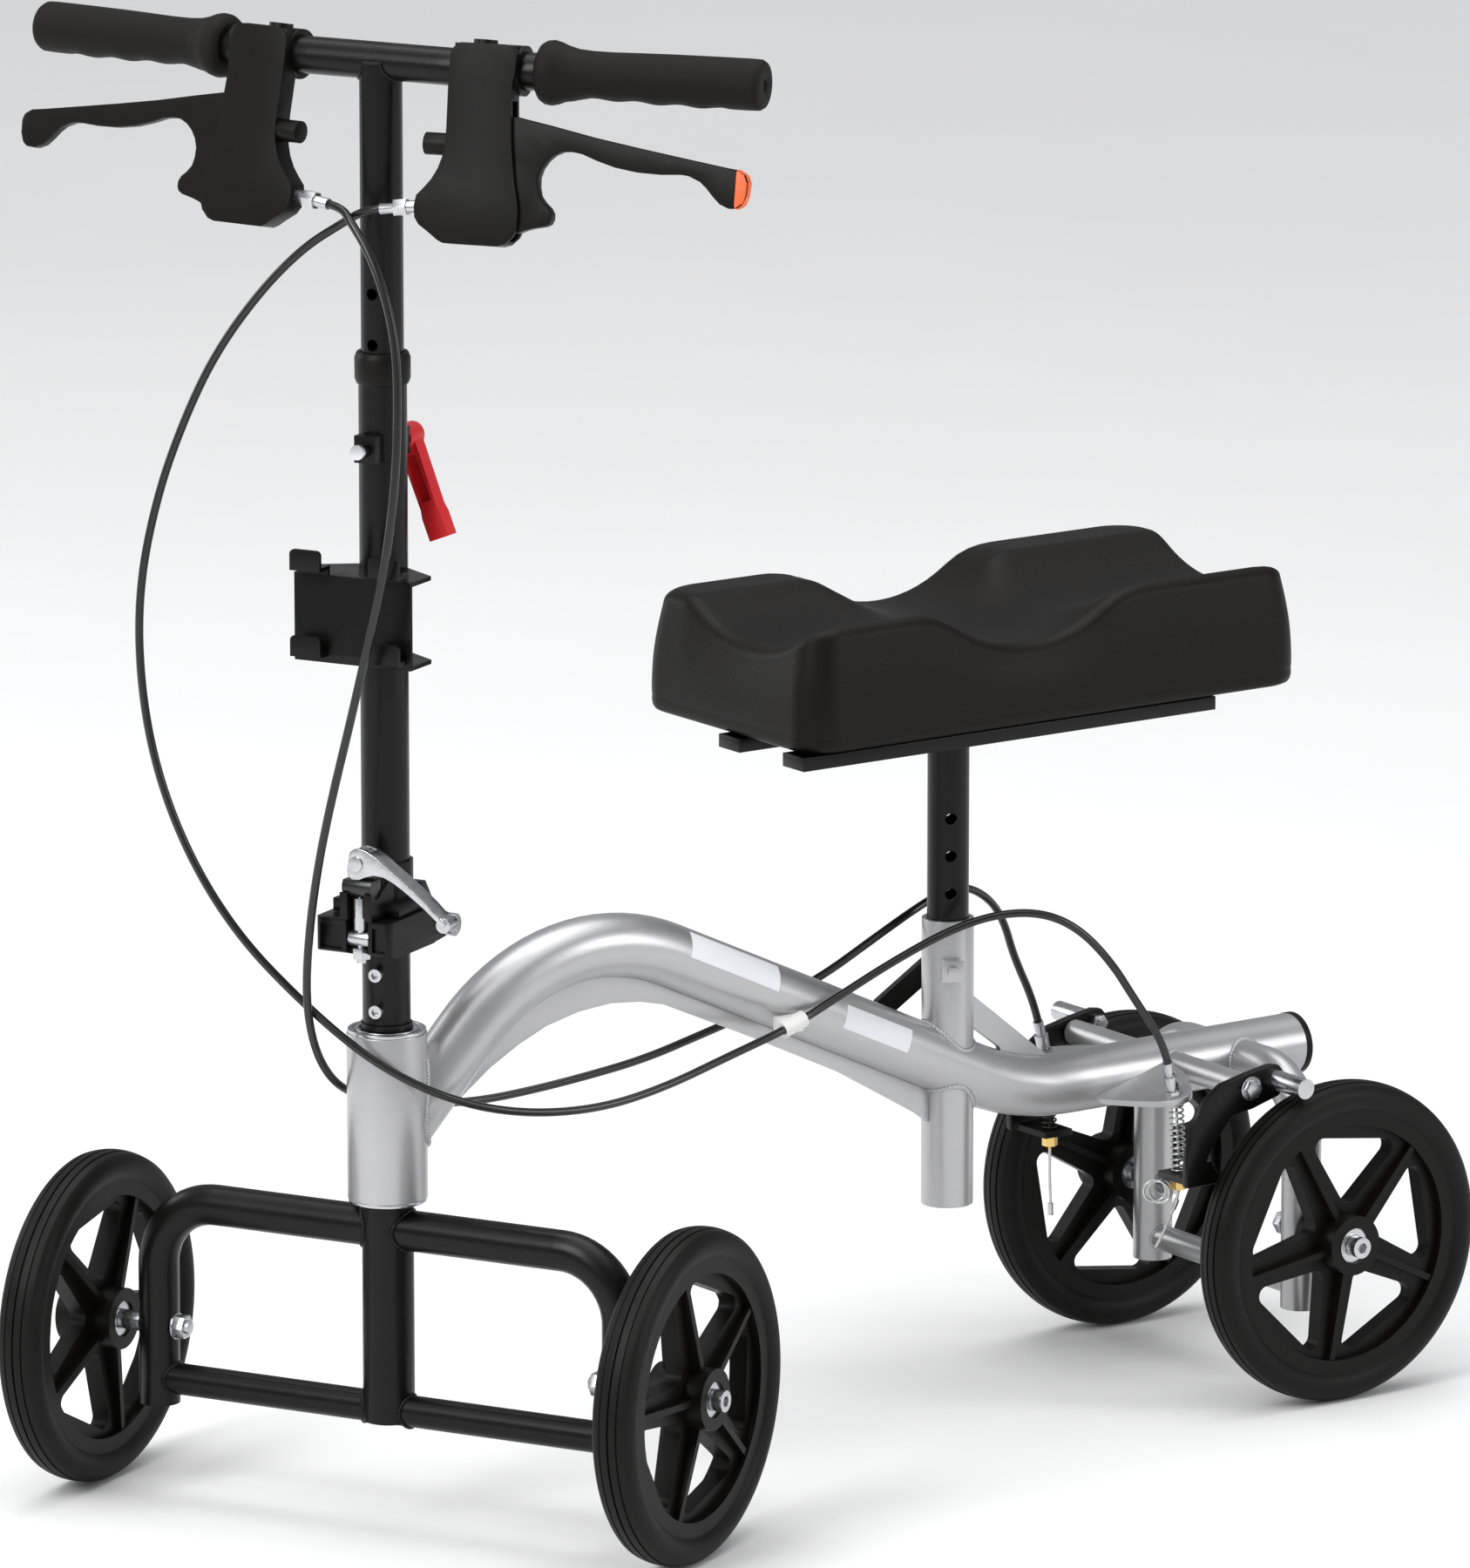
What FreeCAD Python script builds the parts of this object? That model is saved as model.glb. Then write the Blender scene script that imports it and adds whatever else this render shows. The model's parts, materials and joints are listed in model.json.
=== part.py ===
import FreeCAD, Part
import math
import os

# Four-wheeled knee scooter: a steered fork with a folding, telescoping handlebar column,
# a bent tube frame, a raised kneeling pad and two cable-operated rear brakes.
# Millimetres.  +Z up, the rider faces -Y, the rider's left is +X.  The shapes are drawn
# with the steering axis on x = 0, y = 0 and the floor at z = 0, and moved at the end so
# that the middle of the footprint is at x = 0, y = 0.

V = FreeCAD.Vector

# ---- driving dimensions ----
FRAME_SHIFT = V(0.0, -270.3, 0)       # steering axis to the middle of the footprint
STEER_ANGLE = 27.3                    # the front end stands turned to the rider's left
WHEEL_R = 100.0
TYRE_HALF_W = 13.65
RIM_R = 82.5
HUB_R = 18.5
HUB_HALF_W = 18.5
BEARING_R = 11.0
BEARING_W = 7.0
AXLE_R = 4.0
AXLE_Z = 100.0
FRONT_TRACK = 199.0                   # wheel plane to the middle
REAR_TRACK = 111.0
REAR_AXLE_Y = 623.4
FORK_TUBE_R = 12.2
FORK_WALL = 1.8
FORK_LEG_X = 156.3
FORK_TOP_Z = 177.7
REAR_LEG_X = 75.0
HEAD_R = 23.8
HEAD_BOTTOM = 197.0
HEAD_TOP = 297.0
STEERER_R = 15.35
STEM_R = 14.2
MAIN_R = 19.05
MAIN_WALL = 2.0
SEAT_TUBE_Y = 408.5
SEAT_TUBE_R = 15.9
SEAT_POST_R = 12.7
FOLD_PIN_Y = 28.5
FOLD_PIN_Z = 358.5
LATCH_X = 3.0                         # the latch bolt hangs in front of the column
LATCH_Y = -35.0
SADDLE_Z = 391.5
CAM_PIN_Z = 406.0
COLUMN_R = 14.2
INNER_R = 12.5
BAR_R = 11.0
BAR_Z = 873.0
BAR_SWEEP = 7.0                       # degrees that each half of the bar leans back
BAR_STRAIGHT = 50.0                   # half-length of the straight middle
LEVER_TILT = 12.0                     # degrees that the brake housings lean forward below the bar
PAD_BOTTOM = 434.6
BRAKE_PIVOT_Y = 570.0
BRAKE_PIVOT_Z = 199.3
BRAKE_STUB_R = 8.0
EAR_X = 66.0                          # the brake cable adjusters
EAR_Y = 532.0
EAR_TOP = 195.0
EAR_TILT = 15.0                       # degrees that the cable plate slopes down to the front
FOOT_Y = 536.0
FOOT_BOTTOM = 143.0
CABLE_R = 2.5


# ---- helpers ----
def rod(a, b, r):
    axis = b.sub(a)
    return Part.makeCylinder(r, axis.Length, a, axis)


def pipe(a, b, outer, inner):
    return rod(a, b, outer).cut(rod(a, b, inner))


def block(x0, x1, y0, y1, z0, z1):
    return Part.makeBox(x1 - x0, y1 - y0, z1 - z0, V(x0, y0, z0))


def join(shapes):
    result = shapes[0]
    for s in shapes[1:]:
        result = result.fuse(s)
    return result.removeSplitter()


def prism(points, direction):
    """A flat plate: the closed outline of points, pushed along direction."""
    wire = Part.makePolygon(points + [points[0]])
    return Part.Face(wire).extrude(direction)


def hex_prism(centre, direction, across_flats, height):
    """A hexagonal bar whose end face is centred on centre."""
    axis = V(direction)
    axis.normalize()
    side = axis.cross(V(0, 0, 1)) if abs(axis.z) < 0.9 else V(1, 0, 0)
    side.normalize()
    other = axis.cross(side)
    corner = across_flats / math.sqrt(3)
    points = []
    for k in range(6):
        a = math.radians(60 * k)
        points.append(centre + side * (corner * math.cos(a)) + other * (corner * math.sin(a)))
    return prism(points, axis * height)


def rounded_path(points, radii):
    """Straight runs joined by tangent arcs; radii has one value for each inner point."""
    edges = []
    start = points[0]
    for i in range(1, len(points) - 1):
        into = (points[i] - points[i - 1]).normalize()
        out = (points[i + 1] - points[i]).normalize()
        turn = into.getAngle(out)
        back = radii[i - 1] * math.tan(turn / 2)
        p = points[i] - into * back
        q = points[i] + out * back
        inward = (out - into).normalize()
        centre = points[i] + inward * (radii[i - 1] / math.cos(turn / 2))
        middle = centre - inward * radii[i - 1]
        if p.distanceToPoint(start) > 1e-4:
            edges.append(Part.LineSegment(start, p).toShape())
        edges.append(Part.Arc(p, middle, q).toShape())
        start = q
    edges.append(Part.LineSegment(start, points[-1]).toShape())
    return Part.Wire(edges)


def round_bar(points, radii, r):
    path = rounded_path(points, radii)
    ring = Part.Wire(Part.Circle(points[0], points[1] - points[0], r).toShape())
    return path.makePipeShell([ring], True, False)


def bent_tube(points, radii, outer, inner):
    return round_bar(points, radii, outer).cut(round_bar(points, radii, inner))


def spun(profile, origin, axis):
    """A closed profile of points, turned full circle about an axis."""
    return Part.Face(Part.makePolygon(profile + [profile[0]])).revolve(origin, axis, 360)


def moved(shape, offset):
    s = shape.copy()
    s.translate(offset)
    return s


def mirrored(shape):
    """The same piece on the other side of the middle plane."""
    return shape.mirror(V(0, 0, 0), V(1, 0, 0))


def steered(shape):
    """A piece of the front end, turned with it about the steering axis."""
    s = shape.copy()
    s.rotate(V(0, 0, 0), V(0, 0, 1), STEER_ANGLE)
    return s


def group(shapes):
    solids = []
    for s in shapes:
        solids.extend(s.Solids)
    return Part.makeCompound(solids)


def single(shape):
    return shape.Solids[0] if len(shape.Solids) == 1 else Part.makeCompound(shape.Solids)


# ---- wheels ----
def wheel_tyre(x, y):
    """Solid rubber tyre round the X axis, with three grooves round the tread."""
    w = TYRE_HALF_W
    low = V(-10.5, 0, RIM_R)
    points = [V(10.5, 0, RIM_R), V(w, 0, 90.5), V(9.6, 0, 98.1)]
    bottom = Part.LineSegment(low, points[0]).toShape()
    right = Part.Arc(points[0], points[1], points[2]).toShape()
    crown = Part.Arc(points[2], V(0, 0, WHEEL_R), V(-9.6, 0, 98.1)).toShape()
    left = Part.Arc(V(-9.6, 0, 98.1), V(-w, 0, 90.5), low).toShape()
    tyre = Part.Face(Part.Wire([bottom, right, crown, left])).revolve(V(0, 0, 0), V(1, 0, 0), 360)
    for offset in (-5.5, 0.0, 5.5):
        outer = Part.makeCylinder(WHEEL_R + 2, 1.3, V(offset - 0.65, 0, 0), V(1, 0, 0))
        inner = Part.makeCylinder(WHEEL_R - 1.3, 1.3, V(offset - 0.65, 0, 0), V(1, 0, 0))
        tyre = tyre.cut(outer.cut(inner))
    return single(moved(tyre, V(x, y, AXLE_Z)))


def spoke_window():
    """The opening between two spokes: a triangle with its flat side outside and round corners."""
    half_angle = math.radians(40)
    tip = 20.5
    outside = 64.5
    spread = (outside - tip) * math.tan(half_angle)
    hole = prism([V(-15, 0, tip), V(-15, spread, outside), V(-15, -spread, outside)], V(30, 0, 0))
    corners = [e for e in hole.Edges if abs(e.BoundBox.XLength - 30) < 0.01]
    return hole.makeFillet(6.0, corners)


def wheel_rim(x, y, turn):
    """Moulded wheel: hub, web with five windows, a raised rib on each spoke, and the seat ring."""
    along = V(1, 0, 0)
    web = Part.makeCylinder(75, 11, V(-5.5, 0, 0), along)
    window = spoke_window()
    for k in range(5):
        hole = window.copy()
        hole.rotate(V(0, 0, 0), along, 72 * k + turn)
        web = web.cut(hole)
    ring = Part.makeCylinder(RIM_R, 21, V(-10.5, 0, 0), along)
    ring = ring.cut(Part.makeCylinder(73.5, 21, V(-10.5, 0, 0), along))
    hub = Part.makeCylinder(HUB_R, 2 * HUB_HALF_W, V(-HUB_HALF_W, 0, 0), along)
    pieces = [web, ring, hub]
    for k in range(5):
        for side in (-1, 1):
            rib = prism([V(side * 4, -2.0, 15), V(side * 13, -2.0, 15), V(side * 9.5, -2.0, 74),
                         V(side * 4, -2.0, 74)], V(0, 4, 0))
            rib.rotate(V(0, 0, 0), along, 72 * k + 36 + turn)
            pieces.append(rib)
    rim = join(pieces)
    bore = BEARING_R + 0.05
    rim = rim.cut(Part.makeCylinder(bore, 2 * HUB_HALF_W + 2, V(-HUB_HALF_W - 1, 0, 0), along))
    sleeve = Part.makeCylinder(bore, 18, V(-9, 0, 0), along)
    sleeve = sleeve.cut(Part.makeCylinder(8.0, 18, V(-9, 0, 0), along))
    rim = rim.fuse(sleeve).removeSplitter()
    return single(moved(rim, V(x, y, AXLE_Z)))


def axle_set(side, wheel_x, leg_x, y):
    """Bolt, nut, spacer and the two ball bearings of one wheel."""
    centre = V(0, y, AXLE_Z)
    out = V(side, 0, 0)

    def at(distance):
        return centre + out * distance

    outer_face = wheel_x + HUB_HALF_W - 1.5
    inner_face = wheel_x - HUB_HALF_W + 1.5
    nut_face = leg_x - FORK_TUBE_R
    head = rod(at(outer_face + 0.4), at(outer_face + 8.4), 6.5)
    socket = hex_prism(at(outer_face + 4.9), out, 6.0, 3.6)
    bolt = join([rod(at(nut_face - 9), at(outer_face + 0.4), AXLE_R - 0.05), head]).cut(socket)
    nut = hex_prism(at(nut_face - 6.8), out, 13.0, 6.5).cut(rod(at(nut_face - 8), at(nut_face), AXLE_R))
    washer = pipe(at(nut_face - 0.3), at(nut_face + 0.9), 8.0, AXLE_R)
    spacer = pipe(at(leg_x + FORK_TUBE_R - 0.9), at(inner_face - 0.1), 6.0, AXLE_R)
    pieces = [bolt, nut, washer, spacer]
    for face, step in ((outer_face, -1), (inner_face, 1)):
        pieces.append(pipe(at(face), at(face + step * BEARING_W), BEARING_R, AXLE_R))
    return pieces


def axle_hole(side, leg_x, y):
    reach = FORK_TUBE_R + 3
    return rod(V(side * (leg_x - reach), y, AXLE_Z), V(side * (leg_x + reach), y, AXLE_Z), AXLE_R + 0.1)


def flats_for(side, leg_x, y):
    """Room for the washer and the spacer end, which sit a little into the leg's round wall."""
    inner = V(side * (leg_x - FORK_TUBE_R - 1), y, AXLE_Z)
    face = V(side * (leg_x - FORK_TUBE_R + 0.9), y, AXLE_Z)
    outer = V(side * (leg_x + FORK_TUBE_R + 1), y, AXLE_Z)
    seat = V(side * (leg_x + FORK_TUBE_R - 0.9), y, AXLE_Z)
    return [rod(inner, face, 8.0), rod(seat, outer, 6.0)]


# ---- the main frame ----
main_points = [V(0, 12, 241), V(0, 118.9, 354.4), V(0, 460.2, 195), V(0, 671, 195)]
main_radii = [125.0, 165.0]
main_solid = round_bar(main_points, main_radii, MAIN_R)
main_core = round_bar(main_points, main_radii, MAIN_R - MAIN_WALL)
head_solid = rod(V(0, 0, HEAD_BOTTOM), V(0, 0, HEAD_TOP), HEAD_R)
seat_solid = rod(V(0, SEAT_TUBE_Y, 132.5), V(0, SEAT_TUBE_Y, 311), SEAT_TUBE_R)

head_tube = head_solid.cut(rod(V(0, 0, 190), V(0, 0, 305), 21.0))
bearing = pipe(V(0, 0, 286), V(0, 0, HEAD_TOP), 21.0, 15.42)
cover = pipe(V(0, 0, HEAD_TOP), V(0, 0, HEAD_TOP + 0.8), 23.2, 15.42)
outer_ring = pipe(V(0, 0, HEAD_TOP), V(0, 0, HEAD_TOP + 2.2), 23.2, 20.8)
inner_ring = pipe(V(0, 0, HEAD_TOP), V(0, 0, HEAD_TOP + 2.6), 19.2, 16.6)
upper_cup = join([bearing, cover, outer_ring, inner_ring])
lower_cup = upper_cup.mirror(V(0, 0, (HEAD_TOP + HEAD_BOTTOM) / 2), V(0, 0, 1))

main_tube = main_solid.cut(main_core).cut(head_solid).cut(seat_solid)
seat_tube = pipe(V(0, SEAT_TUBE_Y, 132.5), V(0, SEAT_TUBE_Y, 311), SEAT_TUBE_R, SEAT_POST_R + 0.06)

# flat plate welded under the bend, from the head tube to the seat tube
rib_outline = [
    V(-2.4, 10, 205), V(-2.4, 32, 236), V(-2.4, 72, 265), V(-2.4, 92, 276), V(-2.4, 112, 284.5),
    V(-2.4, 135, 290), V(-2.4, 159, 292), V(-2.4, 180, 290), V(-2.4, 197, 286), V(-2.4, 261, 257),
    V(-2.4, 326, 226), V(-2.4, 384, 192), V(-2.4, 393, 185), V(-2.4, 405, 185), V(-2.4, 405, 219),
    V(-2.4, 250, 292), V(-2.4, 145, 327), V(-2.4, 62, 294), V(-2.4, 12, 241),
]
down_rib = prism(rib_outline, V(4.8, 0, 0)).cut(main_solid).cut(head_solid).cut(seat_solid)
down_rib = max(down_rib.Solids, key=lambda s: s.Volume)

gusset_outline = [
    V(-2.4, 415, 269), V(-2.4, 487, 211), V(-2.4, 452, 211), V(-2.4, 446, 225), V(-2.4, 415, 248),
]
rear_gusset = prism(gusset_outline, V(4.8, 0, 0)).cut(main_solid).cut(seat_solid)
rear_gusset = max(rear_gusset.Solids, key=lambda s: s.Volume)

end_cap = join([
    rod(V(0, 671, 195), V(0, 675, 195), MAIN_R + 0.4),
    rod(V(0, 656, 195), V(0, 671, 195), MAIN_R - MAIN_WALL - 0.02),
])

# rear legs: each one leaves the main tube level, then turns down past its axle
leg_points = [V(8, 622.4, 195), V(REAR_LEG_X, 622.4, 195), V(REAR_LEG_X, 622.4, 50)]
leg_points = [V(p.x, REAR_AXLE_Y, p.z) for p in leg_points]
leg_solid = round_bar(leg_points, [38.0], FORK_TUBE_R)
rear_leg_left = leg_solid.cut(round_bar(leg_points, [38.0], FORK_TUBE_R - FORK_WALL))
rear_leg_left = rear_leg_left.cut(main_solid).cut(axle_hole(1, REAR_LEG_X, REAR_AXLE_Y))
for seat in flats_for(1, REAR_LEG_X, REAR_AXLE_Y):
    rear_leg_left = rear_leg_left.cut(seat)
rear_leg_left = max(rear_leg_left.Solids, key=lambda s: s.Volume)
rear_leg_right = mirrored(rear_leg_left)

# lower tie between the legs, and the two stubs that carry the brake pivots
tie = pipe(V(-REAR_LEG_X, REAR_AXLE_Y, 64), V(REAR_LEG_X, REAR_AXLE_Y, 64), 8.0, 6.5)
for side in (-1, 1):
    x = side * REAR_LEG_X
    tie = tie.cut(rod(V(x, REAR_AXLE_Y, 40), V(x, REAR_AXLE_Y, 90), FORK_TUBE_R))
pivot_stubs = []
for side in (-1, 1):
    inner = V(side * 6, BRAKE_PIVOT_Y, BRAKE_PIVOT_Z)
    outer = V(side * 86.3, BRAKE_PIVOT_Y, BRAKE_PIVOT_Z)
    stub = rod(inner, outer, BRAKE_STUB_R).cut(main_solid)
    stub = stub.cut(rod(V(side * 55, BRAKE_PIVOT_Y, BRAKE_PIVOT_Z), outer, 3.05))
    pivot_stubs.append(max(stub.Solids, key=lambda s: s.Volume))

# plate through the main tube whose two ears stop the brake cables, sloping down to the front
half_outline = [
    (0, 508), (19, 507.5), (27, 506.5), (37, 510), (49, 514.5), (62, 520), (70, 525), (74, 530.5), (74.5, 536),
    (71, 541), (66, 545), (56, 551), (40, 559), (19, 563), (0, 563),
]


def on_ear(shape, side):
    """A piece drawn with the ear's hole at the origin, moved onto the sloping ear."""
    s = shape.copy()
    s.rotate(V(0, 0, 0), V(1, 0, 0), EAR_TILT)
    return moved(s, V(side * EAR_X, EAR_Y, EAR_TOP))


plate_points = [V(x, y, EAR_TOP - 4) for x, y in half_outline]
plate_points += [V(-x, y, EAR_TOP - 4) for x, y in reversed(half_outline[1:-1])]
plate_solid = prism(plate_points, V(0, 0, 4.0))
plate_solid.rotate(V(0, EAR_Y, EAR_TOP), V(1, 0, 0), EAR_TILT)
cable_plate = plate_solid.cut(main_solid)
for side in (-1, 1):
    cable_plate = cable_plate.cut(rod(V(0, BRAKE_PIVOT_Y, BRAKE_PIVOT_Z),
                                      V(side * 95, BRAKE_PIVOT_Y, BRAKE_PIVOT_Z), BRAKE_STUB_R))
    cable_plate = cable_plate.cut(on_ear(rod(V(0, 0, -6), V(0, 0, 2), 3.2), side))
cable_plate = group([s for s in cable_plate.Solids if s.Volume > 400])

# threaded adjusters standing on the ears, one for each cable: lock nut, barrel and cable ferrule
ADJUSTER_H = 22.0
adjuster = join([
    rod(V(0, 0, -4), V(0, 0, 5), 3.15),
    hex_prism(V(0, 0, 0), V(0, 0, 1), 8.6, 3.6),
    rod(V(0, 0, 4.6), V(0, 0, 13), 4.2),
    rod(V(0, 0, 13), V(0, 0, 14.5), 2.6),
    rod(V(0, 0, 14.5), V(0, 0, ADJUSTER_H), 3.3),
])
adjuster = single(adjuster.cut(rod(V(0, 0, -5), V(0, 0, 9), 0.9)))
adjusters = [on_ear(adjuster, 1), on_ear(adjuster, -1)]

# cable clip round the near cable, on the side of the main tube
clip = rod(V(25.7, 267, 265), V(25.0, 283, 270), 5.2)
clip_base = block(18, 24, 266, 284, 262, 272)
clip_block = join([clip, clip_base]).cut(main_solid)

# nut welded to the seat tube, and the end of the clamp bolt in it
CLAMP_DIR = V(math.sin(math.radians(62)), -math.cos(math.radians(62)), 0)
CLAMP_Z = 281.8
seat_axis = V(0, SEAT_TUBE_Y, CLAMP_Z)
boss = block(-6.5, 6.5, 0, 8, -6.5, 6.5)
boss.rotate(V(0, 0, 0), V(0, 0, 1), 180 + 62)
boss = moved(boss, seat_axis + CLAMP_DIR * 14.5).cut(seat_solid)
boss = join([boss, rod(seat_axis + CLAMP_DIR * 20, seat_axis + CLAMP_DIR * 27, 3.6)])

# ---- rear brakes (left side, mirrored for the right) ----
PIN_Y = 587.0
PIN_Z = 203.0
arm_outline = [
    (522, 143), (530, 143), (541, 166), (557, 184), (572, 186), (592, 191.5), (596.5, 196.5),
    (597, 205), (592, 211), (585, 212), (568, 209), (548, 204.5), (536, 196), (526, 180), (522, 162),
]
arm_plate = prism([V(87.5, y, z) for y, z in arm_outline], V(4.5, 0, 0))
foot = block(57, 87.5, 526, 547, FOOT_BOTTOM, FOOT_BOTTOM + 4)
web = prism([V(87.5, 522, FOOT_BOTTOM), V(87.5, 547, FOOT_BOTTOM), V(87.5, 547, FOOT_BOTTOM + 4),
             V(87.5, 541, 158), V(87.5, 522, 158)], V(4.5, 0, 0))
brake_arm = join([arm_plate, foot, web])
brake_arm = brake_arm.cut(rod(V(80, BRAKE_PIVOT_Y, BRAKE_PIVOT_Z), V(100, BRAKE_PIVOT_Y, BRAKE_PIVOT_Z), 3.1))
brake_arm = brake_arm.cut(rod(V(80, PIN_Y, PIN_Z), V(100, PIN_Y, PIN_Z), 3.0))
brake_arm = brake_arm.cut(rod(V(EAR_X, FOOT_Y, 140), V(EAR_X, FOOT_Y, 155), 2.6))
brake_arm_left = single(brake_arm)
pin = join([
    rod(V(92.0, PIN_Y, PIN_Z), V(125.5, PIN_Y, PIN_Z), 6.2),
    rod(V(80, PIN_Y, PIN_Z), V(92.0, PIN_Y, PIN_Z), 3.0),
])
pin_nut = hex_prism(V(82, PIN_Y, PIN_Z), V(1, 0, 0), 10.0, 5.5)
pin = single(join([pin, pin_nut]))

# brass pinch nut under the foot, with the free end of the brake wire and its crimped cap
nut_bottom = V(EAR_X, FOOT_Y, FOOT_BOTTOM - 7)
pinch = join([
    hex_prism(nut_bottom, V(0, 0, 1), 8.4, 7.0),
    rod(V(EAR_X, FOOT_Y, FOOT_BOTTOM), V(EAR_X, FOOT_Y, FOOT_BOTTOM + 4), 2.55),
])
wire_right = round_bar([nut_bottom, V(66, 536, 118), V(65.5, 536.5, 99)], [60.0], 0.9)
crimp_right = rod(V(65.5, 536.5, 99), V(65.4, 536.6, 91.5), 1.7)
anchor_pieces_right = [pinch, wire_right, crimp_right]
wire_left = round_bar([nut_bottom, V(65, 534.5, 127), V(60, 527, 105), V(58, 524.5, 99)], [40.0, 40.0], 0.9)
crimp_left = rod(V(65.4, 534.9, 129), V(64.1, 532.9, 123), 1.7)
wire_stub = rod(V(68, 540, 139.6), V(74, 548, 141.8), 0.9)
loops = [
    Part.makeTorus(6.9, 0.8, V(60, 526.5, 134.6), V(0.75, -0.62, 0.18)),
    Part.makeTorus(6.9, 0.8, V(57.6, 523.6, 134.6), V(0.86, -0.45, -0.1)),
    Part.makeTorus(6.9, 0.8, V(59, 525.6, 133.8), V(0.6, -0.78, -0.1)),
]
wire_work = wire_left.fuse([crimp_left, wire_stub] + loops).cut(pinch)
anchor_pieces_left = [pinch] + [w for w in wire_work.Solids if w.Volume > 2]

spring_top = V(EAR_X, EAR_Y + 1.2, EAR_TOP - 2)
spring_sleeve = pipe(V(EAR_X, FOOT_Y, FOOT_BOTTOM + 1), spring_top, 4.9, 3.5)
spring_sleeve = spring_sleeve.cut(moved(plate_solid, V(0, 0, -0.1)))
spring_sleeve = spring_sleeve.cut(block(50, 90, 500, 560, 140, FOOT_BOTTOM + 4.1))
spring_sleeve = max(spring_sleeve.Solids, key=lambda s: s.Volume)

pivot_bolts = []
for side in (-1, 1):
    y, z = BRAKE_PIVOT_Y, BRAKE_PIVOT_Z
    shank = rod(V(side * 60, y, z), V(side * 92.4, y, z), 3.05)
    washer = rod(V(side * 92.4, y, z), V(side * 93.4, y, z), 7.5)
    head = hex_prism(V(side * 93.4, y, z), V(side, 0, 0), 10.0, 3.4)
    pivot_bolts.append(single(join([shank, washer, head])))

# ---- steered fork ----
hoop_points = [V(-FORK_LEG_X, 0, 52), V(-FORK_LEG_X, 0, FORK_TOP_Z), V(FORK_LEG_X, 0, FORK_TOP_Z),
               V(FORK_LEG_X, 0, 52)]
hoop_solid = round_bar(hoop_points, [40.0, 40.0], FORK_TUBE_R)
fork_hoop = hoop_solid.cut(round_bar(hoop_points, [40.0, 40.0], FORK_TUBE_R - FORK_WALL))
lower_solid = rod(V(-FORK_LEG_X, 0, 67.6), V(FORK_LEG_X, 0, 67.6), 9.5)
fork_lower = lower_solid.cut(rod(V(-FORK_LEG_X, 0, 67.6), V(FORK_LEG_X, 0, 67.6), 8.0))
for side in (-1, 1):
    fork_lower = fork_lower.cut(rod(V(side * FORK_LEG_X, 0, 40), V(side * FORK_LEG_X, 0, 95), FORK_TUBE_R))
    fork_hoop = fork_hoop.cut(axle_hole(side, FORK_LEG_X, 0))
    for seat in flats_for(side, FORK_LEG_X, 0):
        fork_hoop = fork_hoop.cut(seat)
steerer = pipe(V(0, 0, 61), V(0, 0, 303), STEERER_R, 13.0).cut(hoop_solid).cut(lower_solid)
steerer = max(steerer.Solids, key=lambda s: s.Volume)

# lower half of the fold: a stem with a yoke on top, open to the front for the latch bolt
stem = rod(V(0, 0, 303), V(0, 0, 352), STEM_R)
yoke = block(-25, 25, -40.5, 14, 350, 372)
corners = [e for e in yoke.Edges if abs(e.BoundBox.ZLength - 22) < 0.01 and e.BoundBox.YMax < -40]
yoke = yoke.makeFillet(4.0, corners)
cheeks = []
for x0 in (-25, 17):
    cheek = prism([V(x0, 8, 350), V(x0, 8, 372), V(x0, 14, 372), V(x0, FOLD_PIN_Y + 2, FOLD_PIN_Z + 6.6),
                   V(x0, FOLD_PIN_Y, FOLD_PIN_Z), V(x0, FOLD_PIN_Y, FOLD_PIN_Z - 7)], V(8, 0, 0))
    cheeks.append(cheek)
    cheeks.append(rod(V(x0, FOLD_PIN_Y, FOLD_PIN_Z), V(x0 + 8, FOLD_PIN_Y, FOLD_PIN_Z), 7.0))
fold_base = join([stem, yoke] + cheeks)
fold_base = fold_base.cut(block(LATCH_X - 7.3, LATCH_X + 7.3, -45, LATCH_Y + 7, 345, 380))
fold_base = fold_base.cut(rod(V(-30, FOLD_PIN_Y, FOLD_PIN_Z), V(30, FOLD_PIN_Y, FOLD_PIN_Z), 4.1))
fold_base = fold_base.cut(block(-21.5, LATCH_X - 10, -45, -38, 354, 368.5))
fold_base = fold_base.cut(block(LATCH_X + 10, 21.5, -45, -38, 354, 368.5))
under = prism([V(-30, -45, 349), V(-30, -30, 349), V(-30, -45, 354)], V(60, 0, 0))
fold_base = single(fold_base.cut(under))

fork_bolts = []
for z in (334.5, 312.5):
    head = rod(V(0, -13.2, z), V(0, -19.2, z), 4.0)
    socket = hex_prism(V(0, -16.6, z), V(0, -1, 0), 4.0, 3.4)
    head = head.cut(socket).cut(rod(V(0, 0, z - 8), V(0, 0, z + 8), STEM_R))
    head.rotate(V(0, 0, 0), V(0, 0, 1), 8)
    fork_bolts.append(single(head))
hinge = rod(V(-29, FOLD_PIN_Y, FOLD_PIN_Z), V(26, FOLD_PIN_Y, FOLD_PIN_Z), 4.0)
hinge_nut = hex_prism(V(-29.5, FOLD_PIN_Y, FOLD_PIN_Z), V(1, 0, 0), 13.0, 4.4)
hinge_head = rod(V(25.1, FOLD_PIN_Y, FOLD_PIN_Z), V(31.0, FOLD_PIN_Y, FOLD_PIN_Z), 6.8)
fork_bolts.append(single(join([hinge, hinge_head, hinge_nut])))

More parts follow.
